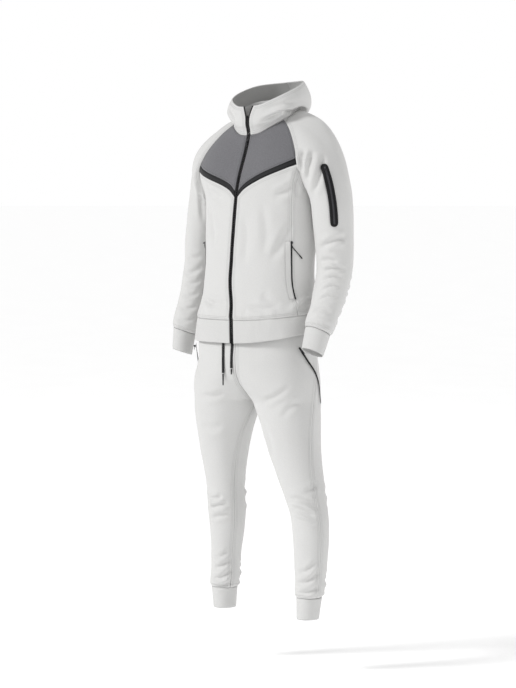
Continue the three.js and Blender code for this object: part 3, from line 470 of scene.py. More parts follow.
# The folds that the photograph shows, by name: depth and width in millimetres, then the pixels
# that the fold goes through
SEEN_FOLDS = {
    "left arm": {
        "shoulder 1": (6.1, 8, ((304, 148), (301.5, 160), (303.5, 173))),
        "shoulder 2": (5.1, 8, ((314, 149), (308.6, 167), (307.5, 182))),
        "shoulder 3": (4.1, 9, ((324.5, 153), (320.5, 172), (312, 198))),
        "elbow 1": (4.9, 9, ((316, 252), (325, 245), (338, 239), (347, 238))),
        "elbow 2": (4.1, 8, ((318, 262), (328, 260), (338, 262))),
        "forearm 1": (3.6, 6, ((322, 272), (334, 268), (346, 270))),
        "forearm 2": (3.2, 5, ((321, 281), (332, 277), (343, 278))),
        "forearm 3": (3.2, 5, ((320, 291), (331, 286), (342, 287))),
        "forearm 4": (3.0, 5, ((318, 300), (328, 296), (339, 297))),
        "wrist 1": (3.2, 7, ((312, 312), (321, 309), (333, 313))),
        "wrist 2": (3.0, 6, ((309, 320), (318, 322), (332, 327))),
    },
    "right arm": {
        "elbow 1": (3.5, 8, ((183, 253), (191, 258), (203, 257))),
        "elbow 2": (4.3, 8, ((181, 271), (190, 273), (203, 267))),
        "forearm 1": (3.2, 6, ((180, 281), (190, 284), (202, 280))),
        "forearm 2": (3.2, 6, ((179, 292), (189, 296), (200, 292))),
        "forearm 3": (3.8, 7, ((176, 303), (186, 309), (199, 305))),
        "wrist": (3.2, 6, ((174, 315), (184, 321), (197, 317))),
        "upper arm": (3.5, 8, ((198, 180), (201, 200), (203, 224))),
    },
    "torso": {
        "left waist 1": (3.0, 9, ((310, 306), (300, 310), (288, 318))),
        "left waist 2": (3.2, 7, ((311, 298), (303, 303), (294, 311))),
        "left chest 1": (2.2, 12, ((262, 292), (268, 300), (280, 306))),
        "beside the zip": (2.0, 14, ((244, 214), (246, 240), (243, 270))),
        "left chest 2": (2.2, 14, ((262, 200), (266, 232), (264, 262))),
        "left armpit 1": (3.0, 9, ((300, 165), (296, 180), (297, 198))),
        "right chest": (2.4, 12, ((208, 200), (212, 222), (214, 250))),
        "right waist": (2.7, 9, ((200, 292), (206, 300), (216, 306))),
        "left armpit 2": (3.2, 11, ((298, 178), (287, 190), (272, 197))),
        "right armpit": (2.6, 12, ((205, 182), (212, 193), (224, 200))),
        "left side": (2.6, 13, ((292, 222), (282, 242), (268, 264))),
        "right hem": (2.4, 9, ((206, 300), (216, 304), (228, 303))),
        "left hem": (3.0, 9, ((246, 306), (262, 309), (280, 307))),
    },
    "hood": {
        "left side 1": (5.7, 7, ((258, 123), (270, 118), (284, 112), (297, 110), (309, 111))),
        "left side 2": (3.5, 9, ((261, 111), (274, 106), (290, 103), (306, 103))),
        "right rim": (3.5, 6, ((228, 104), (232, 113), (236, 121))),
    },
    "left leg": {
        "crotch": (8.1, 8, ((236, 383), (245, 398), (256, 417))),
        "hip 1": (3.2, 9, ((262, 402), (276, 396), (292, 384))),
        "thigh": (3.0, 12, ((262, 420), (270, 440), (274, 462))),
        "hip 2": (2.7, 10, ((300, 402), (290, 408), (280, 420))),
        "knee 1": (5.9, 9, ((287, 499), (303, 500), (321, 509))),
        "knee 2": (5.4, 9, ((290, 506), (303, 511), (317, 518))),
        "knee 3": (3.2, 7, ((293, 517), (306, 522), (318, 524))),
        "above the knee": (3.0, 8, ((318, 482), (312, 490), (300, 494))),
        "ankle 1": (4.3, 7, ((294, 573), (306, 571), (318, 560))),
        "ankle 2": (4.6, 7, ((295, 582), (307, 582), (320, 571))),
        "ankle 3": (4.1, 7, ((295, 592), (306, 593), (321, 586))),
    },
    "right leg": {
        "hip": (3.0, 10, ((201, 394), (214, 396), (226, 391))),
        "thigh": (2.7, 12, ((201, 424), (212, 428), (224, 425))),
        "knee 1": (5.7, 8, ((205, 495), (213, 499), (223, 496))),
        "knee 2": (5.4, 8, ((206, 511), (215, 506), (228, 503))),
        "knee 3": (3.5, 7, ((208, 520), (219, 516), (232, 513))),
        "ankle 1": (4.1, 7, ((209, 555), (219, 557), (230, 550))),
        "ankle 2": (4.6, 7, ((209, 567), (219, 567), (231, 559))),
        "ankle 3": (4.6, 7, ((210, 577), (220, 578), (232, 569))),
        "ankle 4": (4.1, 7, ((210, 584), (221, 586), (232, 581))),
    },
}
DEEPER = {"left arm": 1.2, "torso": 1.4}


def photographed_folds():
    for group, named in SEEN_FOLDS.items():
        for depth, width, line in named.values():
            seen_fold(group, DEEPER.get(group, 1) * depth, width, line)


# The same sort of folds where the photograph doesn't reach, uneven by a fixed seed: the group, the
# heights in mm, the angles where they start and end, depth and width in mm, and the slope in mm
HIDDEN_FOLDS = (
    ("left arm", (1120, 1105, 1088, 1064, 1046), (110, 215), 3.1, 8, 12),
    ("left arm", (1022, 1006), (100, 230), 2.5, 7, 8),
    ("right arm", (1118, 1100, 1082, 1062), (-215, -110), 3.1, 8, 12),
    ("right arm", (1040, 1020, 1002), (-230, -100), 2.5, 7, 8),
    ("torso", (1130, 1104, 1080, 1052, 1026), (140, 222), 3.6, 12, 16),
    ("torso", (1390, 1350, 1300), (150, 212), 2.6, 17, 30),
    ("torso", (1240, 1200), (118, 160), 3.0, 12, 22),
    ("torso", (1250, 1214), (200, 242), 3.0, 12, 22),
    ("left leg", (520, 505, 488, 470), (110, 250), 3.7, 9, 10),
    ("right leg", (516, 500, 482, 466), (110, 250), 3.7, 9, 10),
    ("left leg", (284, 262, 244, 230), (90, 260), 3.1, 7, 8),
    ("right leg", (286, 264, 246, 230), (90, 260), 3.1, 7, 8),
    ("left leg", (742, 716), (130, 200), 3.0, 11, 16),
    ("right leg", (742, 716), (160, 230), 3.0, 11, 16),
    ("left leg", (860, 840), (120, 170), 3.0, 14, 26),
    ("right leg", (860, 840), (190, 240), 3.0, 14, 26),
)

# The waist and the left arm lie against each other, so both are full there: the group, the depth,
# which is outward, the width, and the (angle, height) where it starts and ends
FULLNESS = (
    ("torso", -11.0, 36, (88, 1360), (94, 1010)),
    ("left arm", -9.0, 28, (-92, 1360), (-80, 1030)),
)
SEED = 7
UNEVEN_ANGLE = 14
UNEVEN_SLOPE = (0.3, 1)
UNEVEN_SIZE = (0.7, 1.15)


def hidden_folds():
    chance = random.Random(SEED)
    for group, depth, width, start, end in FULLNESS:
        round_fold(group, depth, width, start, end, 0)
    for group, heights, angles, depth, width, slope in HIDDEN_FOLDS:
        for k, height in enumerate(heights):
            start = angles[0] + chance.uniform(-UNEVEN_ANGLE, UNEVEN_ANGLE)
            end = angles[1] + chance.uniform(-UNEVEN_ANGLE, UNEVEN_ANGLE)
            lean = slope * (1 if k % 2 else -1) * chance.uniform(*UNEVEN_SLOPE)
            size = chance.uniform(*UNEVEN_SIZE)
            round_fold(group, depth * size, width * size, (start, height + lean), (end, height - lean))


# The cloth's softness: broad waves, and gathers above each band, whose rows give the pieces that
# are gathered and how far that reaches. Heights and reaches are in millimetres, sizes in metres.
WAVES = ((2.3, (0.085, 0.085, 0.15), 3), (0.9, (0.034, 0.034, 0.05), 5))
CALM = 0.5
CALM_AT_BANDS = 0.4
SEAT_EDGE = 0.635
SEAT_TOP = 0.64
SEAT_BLEND = 0.03
SEAT_SINK = 0.8
RIPPLE = (0.011, 0.011, 0.06)
RIPPLE_SEED = 9
BLOUSE = 2.6
BLOUSE_START = 0.012
BLOUSE_REACH = 0.036
BAND_RIPPLE = (0.019, 0.019, 0.16)
BAND_RIPPLE_SEED = 11
BAND_RIPPLE_DEPTH = 0.9
ROLL = 0.9
ROLL_WIDTH = 0.0045
SEAM_GAP = 0.16 * MM
RIPPLE_DEPTH = 1.2
GATHERS = {
    "hem_band": (TORSO, 34),
    "cuff_left": (("sleeve_left",), 30),
    "cuff_right": (("sleeve_right",), 30),
    "ankle_cuff_left": (("leg_front_left", "leg_back_left"), 32),
    "ankle_cuff_right": (("leg_front_right", "leg_back_right"), 32),
}


def band_edges():
    """The top edge of each band, as a tree of points."""
    edges = {}
    for name in GATHERS:
        sheet = sheets[name]
        middle = (sheet.rest[:, 2].min() + sheet.rest[:, 2].max()) / 2
        rim = [i for loop in sheet.loops for i in loop if sheet.rest[i, 2] > middle]
        edges[name] = tree_of(sheet.rest[rim])
    return edges


def soften(sheet, edges):
    """Moves a sheet's points by the broad waves, folds, gathers and rolled edges."""
    group = group_of[sheet.name]
    points = sheet.rest
    out = sheet.out
    calm = CALM if sheet.name in CHEST + ("waistband",) else 1.0
    if "cuff" in sheet.name or sheet.name.startswith("zip"):
        calm = CALM_AT_BANDS
    broad, narrow = (height * soft_noise(points, size, seed) for height, size, seed in WAVES)
    wave = broad + narrow
    if "leg" in group:
        z = points[:, 2]
        below = smooth((-z - SEAT_EDGE) / SEAT_BLEND)
        wave = wave * below - SEAT_SINK * smooth((z + SEAT_TOP) / SEAT_BLEND)
    moved = out * (wave * calm * MM)[:, None] + fold_field(group, points)
    for band, (names, reach) in GATHERS.items():
        if sheet.name not in names:
            continue
        away = np.array([edges[band].find(p)[2] for p in points])
        near = np.exp(-((away / (reach * MM)) ** 2))
        ripple = soft_noise(points, RIPPLE, RIPPLE_SEED) * RIPPLE_DEPTH
        full = BLOUSE * smooth(away / BLOUSE_START) * np.exp(-((away / BLOUSE_REACH) ** 2))
        moved += out * ((ripple * near + full) * MM)[:, None]
    if sheet.name == "hem_band":
        ripple = BAND_RIPPLE_DEPTH * soft_noise(points, BAND_RIPPLE, BAND_RIPPLE_SEED)
        moved += out * (ripple * MM)[:, None]
    if sheet.name not in TRIMS:
        roll = ROLL * (1 - smooth(sheet.edge / ROLL_WIDTH))
        moved -= out * (roll * MM)[:, None]
        moved += close_seams(sheet)
    sheet.points = points + moved


def close_seams(sheet):
    """Brings a piece's edge out to its neighbour's, along the cloth."""
    total = np.zeros_like(sheet.rest)
    count = np.zeros(len(sheet.rest))
    for face in sheet.faces:
        middle = sheet.rest[list(face)].mean(0)
        for i in face:
            total[i] += middle
            count[i] += 1
    shift = np.zeros_like(sheet.rest)
    for loop in sheet.loops:
        ring = sheet.rest[loop]
        along = np.roll(ring, -1, 0) - np.roll(ring, 1, 0)
        along /= np.linalg.norm(along, axis=1)[:, None] + TINY
        way = ring - total[loop] / count[loop][:, None]
        way -= np.sum(way * along, axis=1)[:, None] * along
        way /= np.linalg.norm(way, axis=1)[:, None] + TINY
        shift[loop] = way * SEAM_GAP
    return shift


photographed_folds()
hidden_folds()
edges = band_edges()
for sheet in sheets.values():
    soften(sheet, edges)


# Materials
SHEEN_ROUGHNESS = 0.6
METAL_GLOSS = 0.5
CLOTH_GLOSS = 0.22
FIRST_COLOR = 6
SECOND_COLOR = 7
MIXED_COLOR = 2
SEAM_WIDTH = 0.0007
SEAM_BLEND = 2.2
# How dark the painted shade in the seam grooves is
SEAM_PAINTED_SHADE = 0.84
STITCH_WIDTH = 0.0006
STITCH_PITCH = 0.0032
STITCH_SHARE = 0.72


class Look:
    """A node material under construction."""

    def __init__(self, name, color, roughness, sheen=0.0, metallic=0.0):
        self.material = bpy.data.materials.new(name)
        self.material.use_nodes = True
        self.nodes = self.material.node_tree.nodes
        self.links = self.material.node_tree.links
        self.shader = self.nodes["Principled BSDF"]
        self.shader.inputs["Base Color"].default_value = (*color, 1)
        self.shader.inputs["Roughness"].default_value = roughness
        self.shader.inputs["Metallic"].default_value = metallic
        self.shader.inputs["Sheen Weight"].default_value = sheen
        self.shader.inputs["Sheen Roughness"].default_value = SHEEN_ROUGHNESS
        self.shader.inputs["Specular IOR Level"].default_value = METAL_GLOSS if metallic else CLOTH_GLOSS
        self.place = self.nodes.new("ShaderNodeTexCoord").outputs["Object"]
        self.height = None

    def link(self, start, end):
        self.links.new(start, end)

    def math(self, operation, *values):
        node = self.nodes.new("ShaderNodeMath")
        node.operation = operation
        for i, value in enumerate(values):
            if isinstance(value, (int, float)):
                node.inputs[i].default_value = value
            else:
                self.link(value, node.inputs[i])
        return node.outputs[0]

    def noise(self, scale, detail=3.0):
        node = self.nodes.new("ShaderNodeTexNoise")
        node.inputs["Scale"].default_value = scale
        node.inputs["Detail"].default_value = detail
        self.link(self.place, node.inputs["Vector"])
        return node.outputs["Fac"]

    def spread(self, value, low, high, start=0.0, end=1.0):
        """Runs a value from low to high while it goes from start to end."""
        node = self.nodes.new("ShaderNodeMapRange")
        for label, number in (("From Min", start), ("From Max", end), ("To Min", low), ("To Max", high)):
            node.inputs[label].default_value = number
        self.link(value, node.inputs["Value"])
        return node.outputs[0]

    def measure(self, name):
        node = self.nodes.new("ShaderNodeAttribute")
        node.attribute_name = name
        return node.outputs["Fac"]

    def tint(self, factor, low, high, start=0.35, end=0.65):
        """Colours the surface between two tints, where a factor runs from start to end."""
        ramp = self.nodes.new("ShaderNodeValToRGB")
        ramp.color_ramp.elements[0].position = start
        ramp.color_ramp.elements[1].position = end
        ramp.color_ramp.elements[0].color = (*low, 1)
        ramp.color_ramp.elements[1].color = (*high, 1)
        self.link(factor, ramp.inputs[0])
        self.link(ramp.outputs[0], self.shader.inputs["Base Color"])
        return ramp.outputs[0]

    def darken(self, color, mask, amount):
        """Multiplies a color by an amount where the mask is."""
        mixer = self.nodes.new("ShaderNodeMix")
        mixer.data_type = "RGBA"
        mixer.blend_type = "MULTIPLY"
        mixer.inputs[SECOND_COLOR].default_value = (amount, amount, amount, 1)
        self.link(mask, mixer.inputs["Factor"])
        self.link(color, mixer.inputs[FIRST_COLOR])
        self.link(mixer.outputs[MIXED_COLOR], self.shader.inputs["Base Color"])
        return mixer.outputs[MIXED_COLOR]

    def raised(self, height, distance, strength=1.0):
        """Adds a relief of the given depth in metres."""
        bump = self.nodes.new("ShaderNodeBump")
        bump.inputs["Distance"].default_value = distance
        bump.inputs["Strength"].default_value = strength
        self.link(height, bump.inputs["Height"])
        if self.height is not None:
            self.link(self.height, bump.inputs["Normal"])
        self.height = bump.outputs[0]
        self.link(self.height, self.shader.inputs["Normal"])

    def uneven_gloss(self, low, high, scale):
        self.link(self.spread(self.noise(scale), low, high), self.shader.inputs["Roughness"])

    def paint_seam_shade(self, color):
        """Paints shade on the piece's very edge, where it turns down into the seam's groove."""
        mask = self.spread(self.measure("seam"), 1.0, 0.0, SEAM_WIDTH, SEAM_BLEND * SEAM_WIDTH)
        return self.darken(color, mask, SEAM_PAINTED_SHADE)

    def stitches(self, away, width=STITCH_WIDTH):
        """A mask of stitches at a distance from the piece's edge."""
        line = self.math("COMPARE", self.measure("seam"), away, width)
        share = self.math("FRACT", self.math("DIVIDE", self.measure("run"), STITCH_PITCH))
        dash = self.math("LESS_THAN", share, STITCH_SHARE)
        return self.math("MULTIPLY", line, dash)

    def ribs(self, pitch):
        return self.math("SINE", self.math("MULTIPLY", self.measure("run"), 2 * math.pi / pitch))


def shade(color, factor):
    return tuple(c * factor for c in color)


# Colours, linear, and the pitches and edge distances of the ribs, the weave and the stitches
FLEECE = (0.645, 0.643, 0.634)
YOKE = (0.152, 0.151, 0.161)
BLACK = (0.008, 0.008, 0.009)
TAPE_EDGE = (0.005, 0.005, 0.006)
TAPE_MIDDLE = (0.017, 0.017, 0.018)
SURROUND = (0.007, 0.007, 0.008)
GREY_ZIP = (0.05, 0.05, 0.055)
CORD = (0.012, 0.012, 0.013)
CORD_TIP = (0.02, 0.02, 0.022)
METAL = (0.03, 0.03, 0.033)
RIB_PITCH = 0.0023
WEAVE_PITCH = 0.0011
FLEECE_ROWS = (0.0058, 0.0098)
YOKE_ROW = 0.0048
TAPE_EDGE_WIDTH = 0.0042
SURROUND_ROW = 0.0022
SURROUND_STITCH = 0.0005
FLEECE_STITCH_SHADE = 0.82
YOKE_STITCH_SHADE = 0.6
SURROUND_STITCH_SHADE = 2.6


def fleece_look(name, color=FLEECE, stitched=True, ribs=False, seam_shade_painted=True):
    look = Look(name, color, 0.92, sheen=0.25)
    tint = look.tint(look.noise(520, 5), shade(color, 0.965), shade(color, 1.025))
    look.raised(look.noise(1500, 2), 0.00025, 0.5)
    look.raised(look.noise(260, 4), 0.0004, 0.35)
    if ribs:
        look.raised(look.ribs(RIB_PITCH), 0.0002, 0.6)
    # Painted shade along the seam groove at the piece's edge
    if seam_shade_painted:
        tint = look.paint_seam_shade(tint)
    if stitched:
        both = look.math("MAXIMUM", *(look.stitches(row) for row in FLEECE_ROWS))
        look.darken(tint, both, FLEECE_STITCH_SHADE)
        look.raised(both, 0.0007, 0.7)
    look.uneven_gloss(0.86, 0.98, 60)
    return look.material


def yoke_look():
    look = Look("yoke_grey", YOKE, 0.85, sheen=0.2)
    tint = look.tint(look.noise(380, 4), shade(YOKE, 0.9), shade(YOKE, 1.1))
    stitch = look.stitches(YOKE_ROW)
    look.darken(tint, stitch, YOKE_STITCH_SHADE)
    look.raised(look.noise(1400, 2), 0.0002, 0.5)
    look.raised(look.noise(120, 3), 0.0004, 0.25)
    look.raised(stitch, 0.0005, 0.6)
    look.uneven_gloss(0.78, 0.92, 70)
    return look.material


def tape_look():
    """The bonded chest tape: black edges round a slightly lighter middle."""
    look = Look("black_tape", BLACK, 0.55, sheen=0.05)
    middle = look.math("GREATER_THAN", look.measure("seam"), TAPE_EDGE_WIDTH)
    uneven = look.math("MULTIPLY", look.noise(300), 0.2)
    soft = look.math("ADD", look.math("MULTIPLY", middle, 0.8), uneven)
    look.tint(soft, TAPE_EDGE, TAPE_MIDDLE, 0.2, 0.9)
    look.raised(look.noise(900, 2), 0.0002, 0.4)
    look.raised(middle, 0.0006, 0.8)
    look.uneven_gloss(0.45, 0.62, 90)
    return look.material


def woven_look(name, color, stitched_at=None):
    look = Look(name, color, 0.75, sheen=0.05)
    tint = look.tint(look.noise(800, 2), shade(color, 0.75), shade(color, 1.35))
    look.raised(look.ribs(WEAVE_PITCH), 0.00015, 0.6)
    look.raised(look.noise(1600, 2), 0.0001, 0.5)
    if stitched_at:
        stitch = look.stitches(stitched_at, SURROUND_STITCH)
        look.darken(tint, stitch, SURROUND_STITCH_SHADE)
        look.raised(stitch, 0.0004, 0.8)
    look.uneven_gloss(0.62, 0.82, 80)
    return look.material


def hard_look(name, color, roughness, metallic):
    """Painted metal or moulded plastic, a little worn and scratched."""
    look = Look(name, color, roughness, metallic=metallic)
    look.tint(look.noise(700, 4), shade(color, 0.8), shade(color, 1.5), 0.45, 0.75)
    look.raised(look.noise(1200, 3), 0.00005, 0.4)
    look.uneven_gloss(roughness - 0.08, roughness + 0.12, 240)
    return look.material


LOOKS = {
    "fleece": fleece_look("light_fleece"),
    "band": fleece_look("smooth_band", shade(FLEECE, 0.985), ribs=True, stitched=False),
    "welt": fleece_look("pocket_welt", stitched=False),
    "yoke": yoke_look(),
    "tape": tape_look(),
    "zip": woven_look("zip_tape", BLACK),
    "surround": woven_look("pocket_surround", SURROUND, SURROUND_ROW),
    "grey zip": woven_look("grey_zip", GREY_ZIP),
    "teeth": hard_look("zip_teeth", BLACK, 0.45, 0.0),
    "cord": woven_look("black_cord", CORD),
    "tip": hard_look("cord_tip", CORD_TIP, 0.35, 0.0),
    "metal": hard_look("zip_metal", METAL, 0.35, 0.6),
    "thread": hard_look("pale_thread", shade(FLEECE, 1.12), 0.7, 0.0),
    # The cloth's inner layer: the same fleece darkened to 0.9, painted shade for the shadowed hollows
    # inside the suit and hood
    "inside": fleece_look("brushed_inside", shade(FLEECE, 0.9), stitched=False, seam_shade_painted=False),
}


def look_of(name):
    for start, key in (
        ("yoke", "yoke"), ("chest_tape", "tape"), ("sleeve_pocket_surround", "surround"),
        ("sleeve_pocket_zip", "grey zip"), ("side_pocket_welt", "welt"),
    ):
        if name.startswith(start):
            return key
    if "zip" in name:
        return "zip"
    return "band" if "band" in name or "cuff" in name else "fleece"


def make_cloth(sheet):
    """The sheet as a closed shell of its cloth's thickness, in place of its solid."""
    name = sheet.name
    key = look_of(name)
    mesh = sheet.mesh
    mesh.vertices.foreach_set("co", sheet.points.ravel())
    for attribute, values in (("seam", sheet.edge), ("run", sheet.run)):
        layer = mesh.attributes.new(attribute, "FLOAT", "POINT")
        layer.data.foreach_set("value", values.astype(np.float32))
    mesh.materials.clear()
    mesh.materials.append(LOOKS[key])
    # Fleece and bands get the darker fleece copy, painted shade, on their inner layer; other pieces keep
    # their own look there
    mesh.materials.append(LOOKS["inside" if key in ("fleece", "band") else key])
    mesh.polygons.foreach_set("material_index", np.zeros(len(mesh.polygons), np.int32))
    mesh.shade_smooth()
    mesh.update()
    piece = bpy.data.objects.new(name + "_cloth", mesh)
    scene.collection.objects.link(piece)
    shell = piece.modifiers.new("thickness", "SOLIDIFY")
    shell.thickness = thickness_of(name)
    shell.offset = -1
    shell.material_offset = 1
    shell.use_even_offset = False
    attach(piece, "suit")
    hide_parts(name)
    return piece


def put_on(name, mesh, key, soft=False):
    """Makes an object of a bmesh, riding on the suit, with a look and a slot."""
    bmesh.ops.recalc_face_normals(mesh, faces=mesh.faces)
    for face in mesh.faces:
        face.smooth = soft
    data = bpy.data.meshes.new(name)
    mesh.to_mesh(data)
    mesh.free()
    data.materials.append(LOOKS[key])
    piece = bpy.data.objects.new(name, data)
    scene.collection.objects.link(piece)
    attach(piece, "suit")
    return piece


# Lines along strips, and zip teeth on them, every other one on the other side
TOOTH_SHIFT = 0.22
TOOTH_HALF = 0.4
TOOTH_TOP = (0.72, 0.6)
TOOTH_FACES = ((3, 2, 1, 0), (4, 5, 6, 7), (0, 1, 5, 4), (1, 2, 6, 5), (2, 3, 7, 6), (3, 0, 4, 7))


def centre_line(name, columns):
    """The middle line of a strip's outer layer, from its lowest point up."""
    layer = outer_layer(name, thickness_of(name), centre_of(group_of.get(name, "waist")))
    rows = sorted(layer.verts, key=lambda v: v.co.z)
    spots = []
    for i in range(0, len(rows) - columns + 1, columns):
        spots.append(np.mean([v.co[:] for v in rows[i:i + columns]], axis=0))
    layer.free()
    return np.array(spots)


def resample(line, step):
    """Points at an even distance along a line, with the way along at each."""
    gaps = np.linalg.norm(np.diff(line, axis=0), axis=1)
    walked = np.concatenate([[0], np.cumsum(gaps)])
    places = np.arange(0, walked[-1], step)
    spots = np.stack([np.interp(places, walked, line[:, k]) for k in range(3)], 1)
    along = np.gradient(spots, axis=0)
    return spots, along / np.linalg.norm(along, axis=1)[:, None]


def on_sheet(sheet, spots):
    """Where points of a strip lie once its sheet is softened, and the way out there."""
    tree = tree_of(sheet.rest)
    moved = []
    outs = []
    for p in spots:
        near = tree.find_n(p, 3)
        shift = np.mean([sheet.points[i] - sheet.rest[i] for _, i, _ in near], axis=0)
        moved.append(p + shift)
        outs.append(np.mean([sheet.out[i] for _, i, _ in near], axis=0))
    return np.array(moved), np.array(outs)


def teeth(name, sheet, spots, along, size, key):
    """One mesh of interlocking teeth, size = (across, out, along) in metres."""
    spots, outs = on_sheet(sheet, spots)
    mesh = bmesh.new()
    wide, high, long = size
    for n, (spot, out, way) in enumerate(zip(spots, outs, along)):
        across = np.cross(way, out)
        across /= np.linalg.norm(across)
        shift = across * wide * (TOOTH_SHIFT if n % 2 else -TOOTH_SHIFT)
        ring = []
        for p, q, lift in ((1, 1, 0.0), (*TOOTH_TOP, 1.0)):
            for a, b in ((-p, -q), (p, -q), (p, q), (-p, q)):
                at = spot + shift + across * a * wide * TOOTH_HALF + way * b * long / 2
                ring.append(mesh.verts.new(at + out * lift * high))
        for face in TOOTH_FACES:
            mesh.faces.new([ring[i] for i in face])
    return put_on(name, mesh, key)


# Cords: flat drawstrings, and round pulls on the side pockets
CORD_STEP = 0.003
STRING_WIDTH = 8 * MM
STRING_DEPTH = 1.7 * MM
STRING_LIFT = 0.9 * MM
STRING_SWAY = {"left": 0.0011, "right": -0.0009}
SWAY_TURNS = 5.0
TIP_WIDTH = 5.2
TIP_NARROWING = 1.4
TIP_DEPTH = 1.6 * MM
TIP_LIFT = 0.8 * MM
FLAT_SIDES = 16
FLAT_EDGE = 0.35
FLAT_FACE = 0.8
PULL_RADIUS = 1.25 * MM
PULL_RING = 8
PULL_SIDES = 12
KNOT_START = 0.72
KNOT_BLEND = 0.05
KNOT_GROWTH = 0.35


def tube(name, line, section, key):
    """A cord swept along a line: section gives (across, out) offsets for each share of it."""
    spots, along = resample(np.array(line), CORD_STEP)
    mesh = bmesh.new()
    rings = []
    for i, (spot, way) in enumerate(zip(spots, along)):
        across = np.cross(way, (0, -1, 0))
        across /= np.linalg.norm(across)
        out = np.cross(across, way)
        share = i / (len(spots) - 1)
        rings.append([mesh.verts.new(spot + across * a + out * b) for a, b in section(share)])
    for low, high in zip(rings[:-1], rings[1:]):
        for j in range(len(low)):
            k = (j + 1) % len(low)
            mesh.faces.new((low[j], low[k], high[k], high[j]))
    mesh.faces.new(rings[0][::-1])
    mesh.faces.new(rings[-1])
    count = len(rings[0])
    total = len(mesh.verts)
    piece = put_on(name, mesh, key, soft=True)
    run = piece.data.attributes.new("run", "FLOAT", "POINT")
    run.data.foreach_set("value", [CORD_STEP * (i // count) for i in range(total)])
    length = float(np.linalg.norm(np.diff(spots, axis=0), axis=1).sum())
    return piece, spots, length


def flat_section(width, depth):
    """A flat section with rounded edges, as a list of (across, out)."""
    turns = [2 * math.pi * (k + 0.5) / FLAT_SIDES for k in range(FLAT_SIDES)]
    return [
        (width / 2 * math.copysign(abs(math.cos(t)) ** FLAT_EDGE, math.cos(t)),
         depth / 2 * math.copysign(abs(math.sin(t)) ** FLAT_FACE, math.sin(t)))
        for t in turns
    ]


def make_drawstring(side):
    string = f"drawstring_{side}"
    tip = f"drawstring_tip_{side}"
    line = centre_line(string, 3)[::-1] - np.array([0, -STRING_LIFT, 0])
    reach = line[:, 2].max() - line[:, 2]
    line[:, 0] += STRING_SWAY[side] * np.sin(reach / reach.max() * SWAY_TURNS)

    def even(share):
        return flat_section(STRING_WIDTH, STRING_DEPTH)

    cord, spots, length = tube(string + "_cord", line, even, "cord")
    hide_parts(string)
    tip_line = centre_line(tip, 3)[::-1] - np.array([0, -TIP_LIFT, 0])
    tip_line[:, 0] += spots[-1][0] - tip_line[0][0]

    def narrowing(share):
        return flat_section((TIP_WIDTH - TIP_NARROWING * share) * MM, TIP_DEPTH)

    end, _, _ = tube(tip + "_end", tip_line, narrowing, "tip")
    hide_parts(tip)


def make_pocket_cord(side):
    """The round cord pull: its line is the solid's own, read as the middles of its rings."""
    name = f"side_pocket_cord_{side}"
    cloud = np.array([v.co[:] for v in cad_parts[name].data.vertices])
    cloud = np.unique(cloud.round(6), axis=0)
    top = cloud[cloud[:, 2].argmax()]
    order = np.linalg.norm(cloud - top, axis=1).argsort()
    starts = range(0, len(order) - PULL_RING + 1, PULL_RING)
    line = [cloud[order[i:i + PULL_RING]].mean(0) for i in starts]

    def round_section(share):
        growth = KNOT_GROWTH * float(smooth((share - KNOT_START) / KNOT_BLEND))
        radius = PULL_RADIUS * (1 + growth)
        turns = [2 * math.pi * k / PULL_SIDES for k in range(PULL_SIDES)]
        return [(radius * math.cos(t), radius * math.sin(t)) for t in turns]

    cord, spots, length = tube(name + "_line", line, round_section, "cord")
    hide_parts(name)


# The stitching round the sleeve pocket: short threads laid on the sleeve, outside the surround.
# A bead's sections are (share of its half length, share of its full width).
BEAD_SECTIONS = ((-1, 0.35), (-0.6, 1), (0.6, 1), (1, 0.35))
BEAD_SIDES = 6
BEAD_LIFT = 0.1


def stitch_ring(name, group, around, away, pitch, size):
    tree = surface_of(group)
    ring = around.points[around.loops[0]]
    ring = np.vstack([ring, ring[:1]])
    spots, along = resample(ring, pitch)
    inward = ring.mean(0)
    rows = []
    for spot, way in zip(spots, along):
        _, out, _, _ = tree.find_nearest(Vector(spot))
        across = np.cross(way, np.array(out))
        across /= np.linalg.norm(across)
        if (spot - inward) @ across < 0:
            across = -across
        found, out, _, _ = tree.find_nearest(Vector(spot + across * away))
        rows.append((np.array(found), np.array(out), way))
    return thread(name, rows, size)


def thread(name, rows, size):
    """Short raised stitches, each a flattened bead: size = (across, out, along) in metres."""
    mesh = bmesh.new()
    wide, high, long = size
    for spot, out, way in rows:
        across = np.cross(way, out)
        across /= np.linalg.norm(across)
        rings = []
        for share, full in BEAD_SECTIONS:
            rings.append([
                mesh.verts.new(
                    spot + way * share * long / 2
                    + across * full * wide / 2 * math.cos(2 * math.pi * k / BEAD_SIDES)
                    + out * (full * high / 2 * math.sin(2 * math.pi * k / BEAD_SIDES) + BEAD_LIFT * high)
                )
                for k in range(BEAD_SIDES)
            ])
        for start, end in zip(rings[:-1], rings[1:]):
            for j in range(BEAD_SIDES):
                k = (j + 1) % BEAD_SIDES
                mesh.faces.new((start[j], start[k], end[k], end[j]))
        mesh.faces.new(rings[0][::-1])
        mesh.faces.new(rings[-1])
    return put_on(name, mesh, "thread", soft=True)


# Put together. A tooth and a stitch are (across, out, along) in metres.
CHAIN_PITCH = 0.0025
CHAIN_TOOTH = (3.4 * MM, 1.2 * MM, 1.7 * MM)
POCKET_PITCH = 0.002
POCKET_TOOTH = (2.2 * MM, 0.5 * MM, 1.3 * MM)
RING_AWAY = 2.6 * MM
RING_PITCH = 3.2 * MM
RING_STITCH = (0.8 * MM, 0.7 * MM, 2.5 * MM)

for side in ("left", "right"):
    make_drawstring(side)
    make_pocket_cord(side)

for name, sheet in sheets.items():
    if name != "zip_chain":
        make_cloth(sheet)

